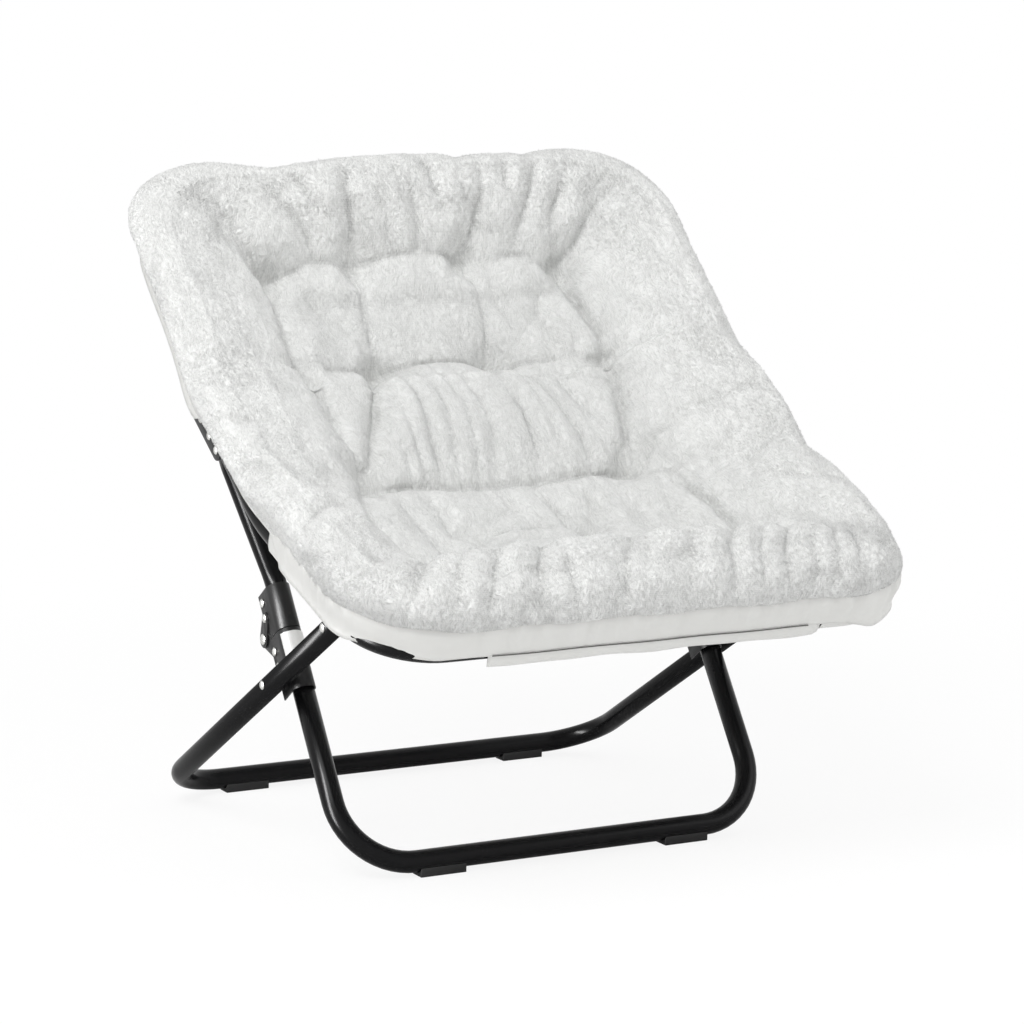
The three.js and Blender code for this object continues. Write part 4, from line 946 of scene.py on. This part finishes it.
def skirtShape(t, across):
    u, v = borderPoint(t)
    atSide = np.abs(u) > 0.999
    place = ringRun / 2 + v * (ringRun / 2)
    low, high = skirt["hingeRuns"]
    atHinge = np.where(atSide, 1 - easeStep(np.maximum(low - place, place - high) / 0.030), 0.0)
    plates = np.where(atSide, np.exp(-((place - skirt["platesRun"]) / skirt["platesReach"]) ** 2), 0.0)
    leftCorner = easeStep((-u - 0.62) / 0.12) * easeStep((-v - 0.80) / 0.1)
    rightCorner = easeStep((u - 0.72) / 0.10) * easeStep((-v - 0.72) / 0.1)
    atFront = easeStep((-v - 0.97) / 0.02) * easeStep((0.78 - np.abs(u)) / 0.15)
    reach = 1 - skirt["cutAtHinge"] * atHinge
    reach *= (1 - skirt["cutAtLeft"] * leftCorner) * (1 - skirt["cutAtFront"] * atFront)
    fall = (1 - across) ** 0.7 * np.sin(np.clip(across * 2.4, 0, 1) * math.pi / 2)
    out = skirt["gather"] * pleats(t, skirt["spacing"], 2.2) * fall * (1 - 0.8 * leftCorner)
    out += across * (skirt["ripple"] * np.sin(t * 47) + skirt["platesOut"] * plates + skirt["rightOut"] * rightCorner)
    return across * reach, -(skirt["length"] + skirt["rightDrop"] * rightCorner) * across, out


def sleeveShape(sag):
    def shape(t, across):
        low = np.sin(across * math.pi) ** 2
        drop = sag + sleeves["ripple"] * 0.8 * np.sin(t * 41 + 1)
        return across, -drop * low, sleeves["ripple"] * np.sin(t * 67 + across * 5) * low
    return shape


half = ringRun / 2
corner = half + saucer["halfWidth"]  # the middles of the front and the back, as metres round the outline
sideStart = half - sleeves["sideInset"]
frontHalf = sleeves["frontHalf"]
parts = (
    ("frontSleeve", -corner - frontHalf, -corner + frontHalf, sleeves["sag"], 90, 0, "seat_half"),
    ("cornerSleeve", -corner + frontHalf + sleeves["gap"], -sideStart - sleeves["gap"] / 2, 0.0, 60, 1, "seat_half"),
    ("sideSleeve_right", -sideStart, sleeves["seatEnd"] - half, 0.0, 60, 0, "seat_half"),
    ("sideSleeve_left", -2 * corner - sleeves["seatEnd"] + half, -2 * corner + sideStart, 0.0, 60, 0, "seat_half"),
    ("backSleeve", sleeves["backEnd"] - half, 2 * corner - sleeves["backEnd"] + half, 0.0, 260, 2, "back_half"),
)
for name, start, end, sag, steps, turns, body in parts:
    bm, width = wrapRing(name, start, end, sleeves["path"], steps, sleeveShape(sag), sleeves["thick"])
    sleeve = toObject(bm, name, liningMaterial, body=body)
bm, width = wrapRing("liningSkirt", -2 * corner, 2 * corner, skirt["path"], skirt["steps"], skirtShape, skirt["thick"])
liningSkirt = toObject(bm, "liningSkirt", liningMaterial)
# painted shadow: a thin dark strip just below the skirt's hem stands in for the shadow line under the hem, not a sewn
# thread
hemShadow = {"path": ((7.2, 2.2), (7.2, 1.1)), "from": 0.205, "to": 0.190, "thick": 0.0008, "drop": 0.0016,
          "colour": (0.10, 0.10, 0.095)}
hemShadowMaterial = newMaterial("hemShadowPaint", {"Base Color": (*hemShadow["colour"], 1), "Roughness": 0.7})[0]
bm, width = wrapRing("hemShadowStrip", -(corner + hemShadow["from"]), -(corner - hemShadow["to"]), hemShadow["path"], 90,
                     lambda t, across: (across, -hemShadow["drop"], skirt["ripple"] * np.sin(t * 47)), hemShadow["thick"])
toObject(bm, "hemShadowStrip", hemShadowMaterial, body="seat_half")
creaseReach = 0.08
creaseStart = hingePoint - sideways(creaseReach, kickRise)
creaseEnd = hingePoint + sideways(creaseReach, backRise)
for piece in (plushCover, saucerLining, liningSkirt):
    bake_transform(piece, "seat_half", "back_half", start=creaseStart, end=creaseEnd)
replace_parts(plushCover, "seat_pad", "back_pad", "rim_gusset_left", "rim_gusset_right")
print("saucer laid")

# floor, lights and background
studio = {"floor": (0.95, 0.95, 0.95), "glow": 0.86, "nearEdge": 0.75, "farEdge": 1.9, "world": 0.78,
          "aim": (0, 0, 0.4)}
lights = (  # each light's name, place, width, height of a tall strip that only the gloss sees, and power
    ("keyLight", (-1.6, -1.2, 2.6), 1.6, 0, 42.0), ("fillLight", (2.4, -1.8, 1.6), 2.0, 0, 13.0),
    ("strip", (-2.45, -0.55, 1.0), 0.55, 2.4, 260.0),
)


def addFloor():
    bm = bmesh.new()
    bmesh.ops.create_grid(bm, x_segments=1, y_segments=1, size=30.0)
    material, tree, shader = newMaterial("paleFloor", {
        "Base Color": (*studio["floor"], 1), "Roughness": 0.9, "Specular IOR Level": 0.1})
    glow = addNode(tree, "Emission", {"Color": (1, 1, 1, 1)})
    path = addNode(tree, "LightPath")
    coords = addNode(tree, "TexCoord")
    away = addNode(tree, "VectorMath", operation="LENGTH")
    fade = addNode(tree, "MapRange", {
        "From Min": studio["nearEdge"], "From Max": studio["farEdge"], "To Min": studio["glow"]},
        interpolation_type="SMOOTHSTEP")
    seen = addNode(tree, "Math", operation="MULTIPLY")
    mix = addNode(tree, "MixShader")
    wire(tree, (coords, "Object", away, 0), (away, "Value", fade, "Value"), (fade, "Result", seen, 1),
         (path, "Is Camera Ray", seen, 0), (seen, 0, mix, 0), (shader, 0, mix, 1), (glow, 0, mix, 2),
         (mix, 0, tree.nodes["Material Output"], "Surface"))
    toObject(bm, "studioFloor", material, smooth=False)


def addLight(name, place, wide, tall, power):
    data = bpy.data.lights.new(name, "AREA")
    data.shape = "RECTANGLE" if tall else "DISK"
    data.size = wide
    if tall:
        data.size_y = tall
    data.energy = power
    light = bpy.data.objects.new(name, data)
    light.location = place
    light.rotation_euler = (Vector(studio["aim"]) - Vector(place)).to_track_quat("-Z", "Y").to_euler()
    light.visible_diffuse = not tall
    scene.collection.objects.link(light)


def addWorld():
    world = bpy.data.worlds.new("studioWorld")
    scene.world = world
    world.use_nodes = True
    tree = world.node_tree
    background = tree.nodes["Background"]
    background.inputs["Color"].default_value = (1, 1, 1, 1)
    background.inputs["Strength"].default_value = studio["world"]
    seen = addNode(tree, "Background", {"Color": (1, 1, 1, 1), "Strength": 1.0})
    path = addNode(tree, "LightPath")
    mix = addNode(tree, "MixShader")
    direct = addNode(tree, "Math", operation="MAXIMUM")
    mirrored = addNode(tree, "Math", operation="MAXIMUM")
    wire(tree, (path, "Is Camera Ray", direct, 0), (path, "Is Glossy Ray", direct, 1), (direct, 0, mirrored, 0),
         (path, "Is Transmission Ray", mirrored, 1), (mirrored, 0, mix, 0), (background, 0, mix, 1),
         (seen, 0, mix, 2), (mix, 0, tree.nodes["World Output"], "Surface"))


addFloor()
addWorld()
for light in lights:
    addLight(*light)
print("studio lit")
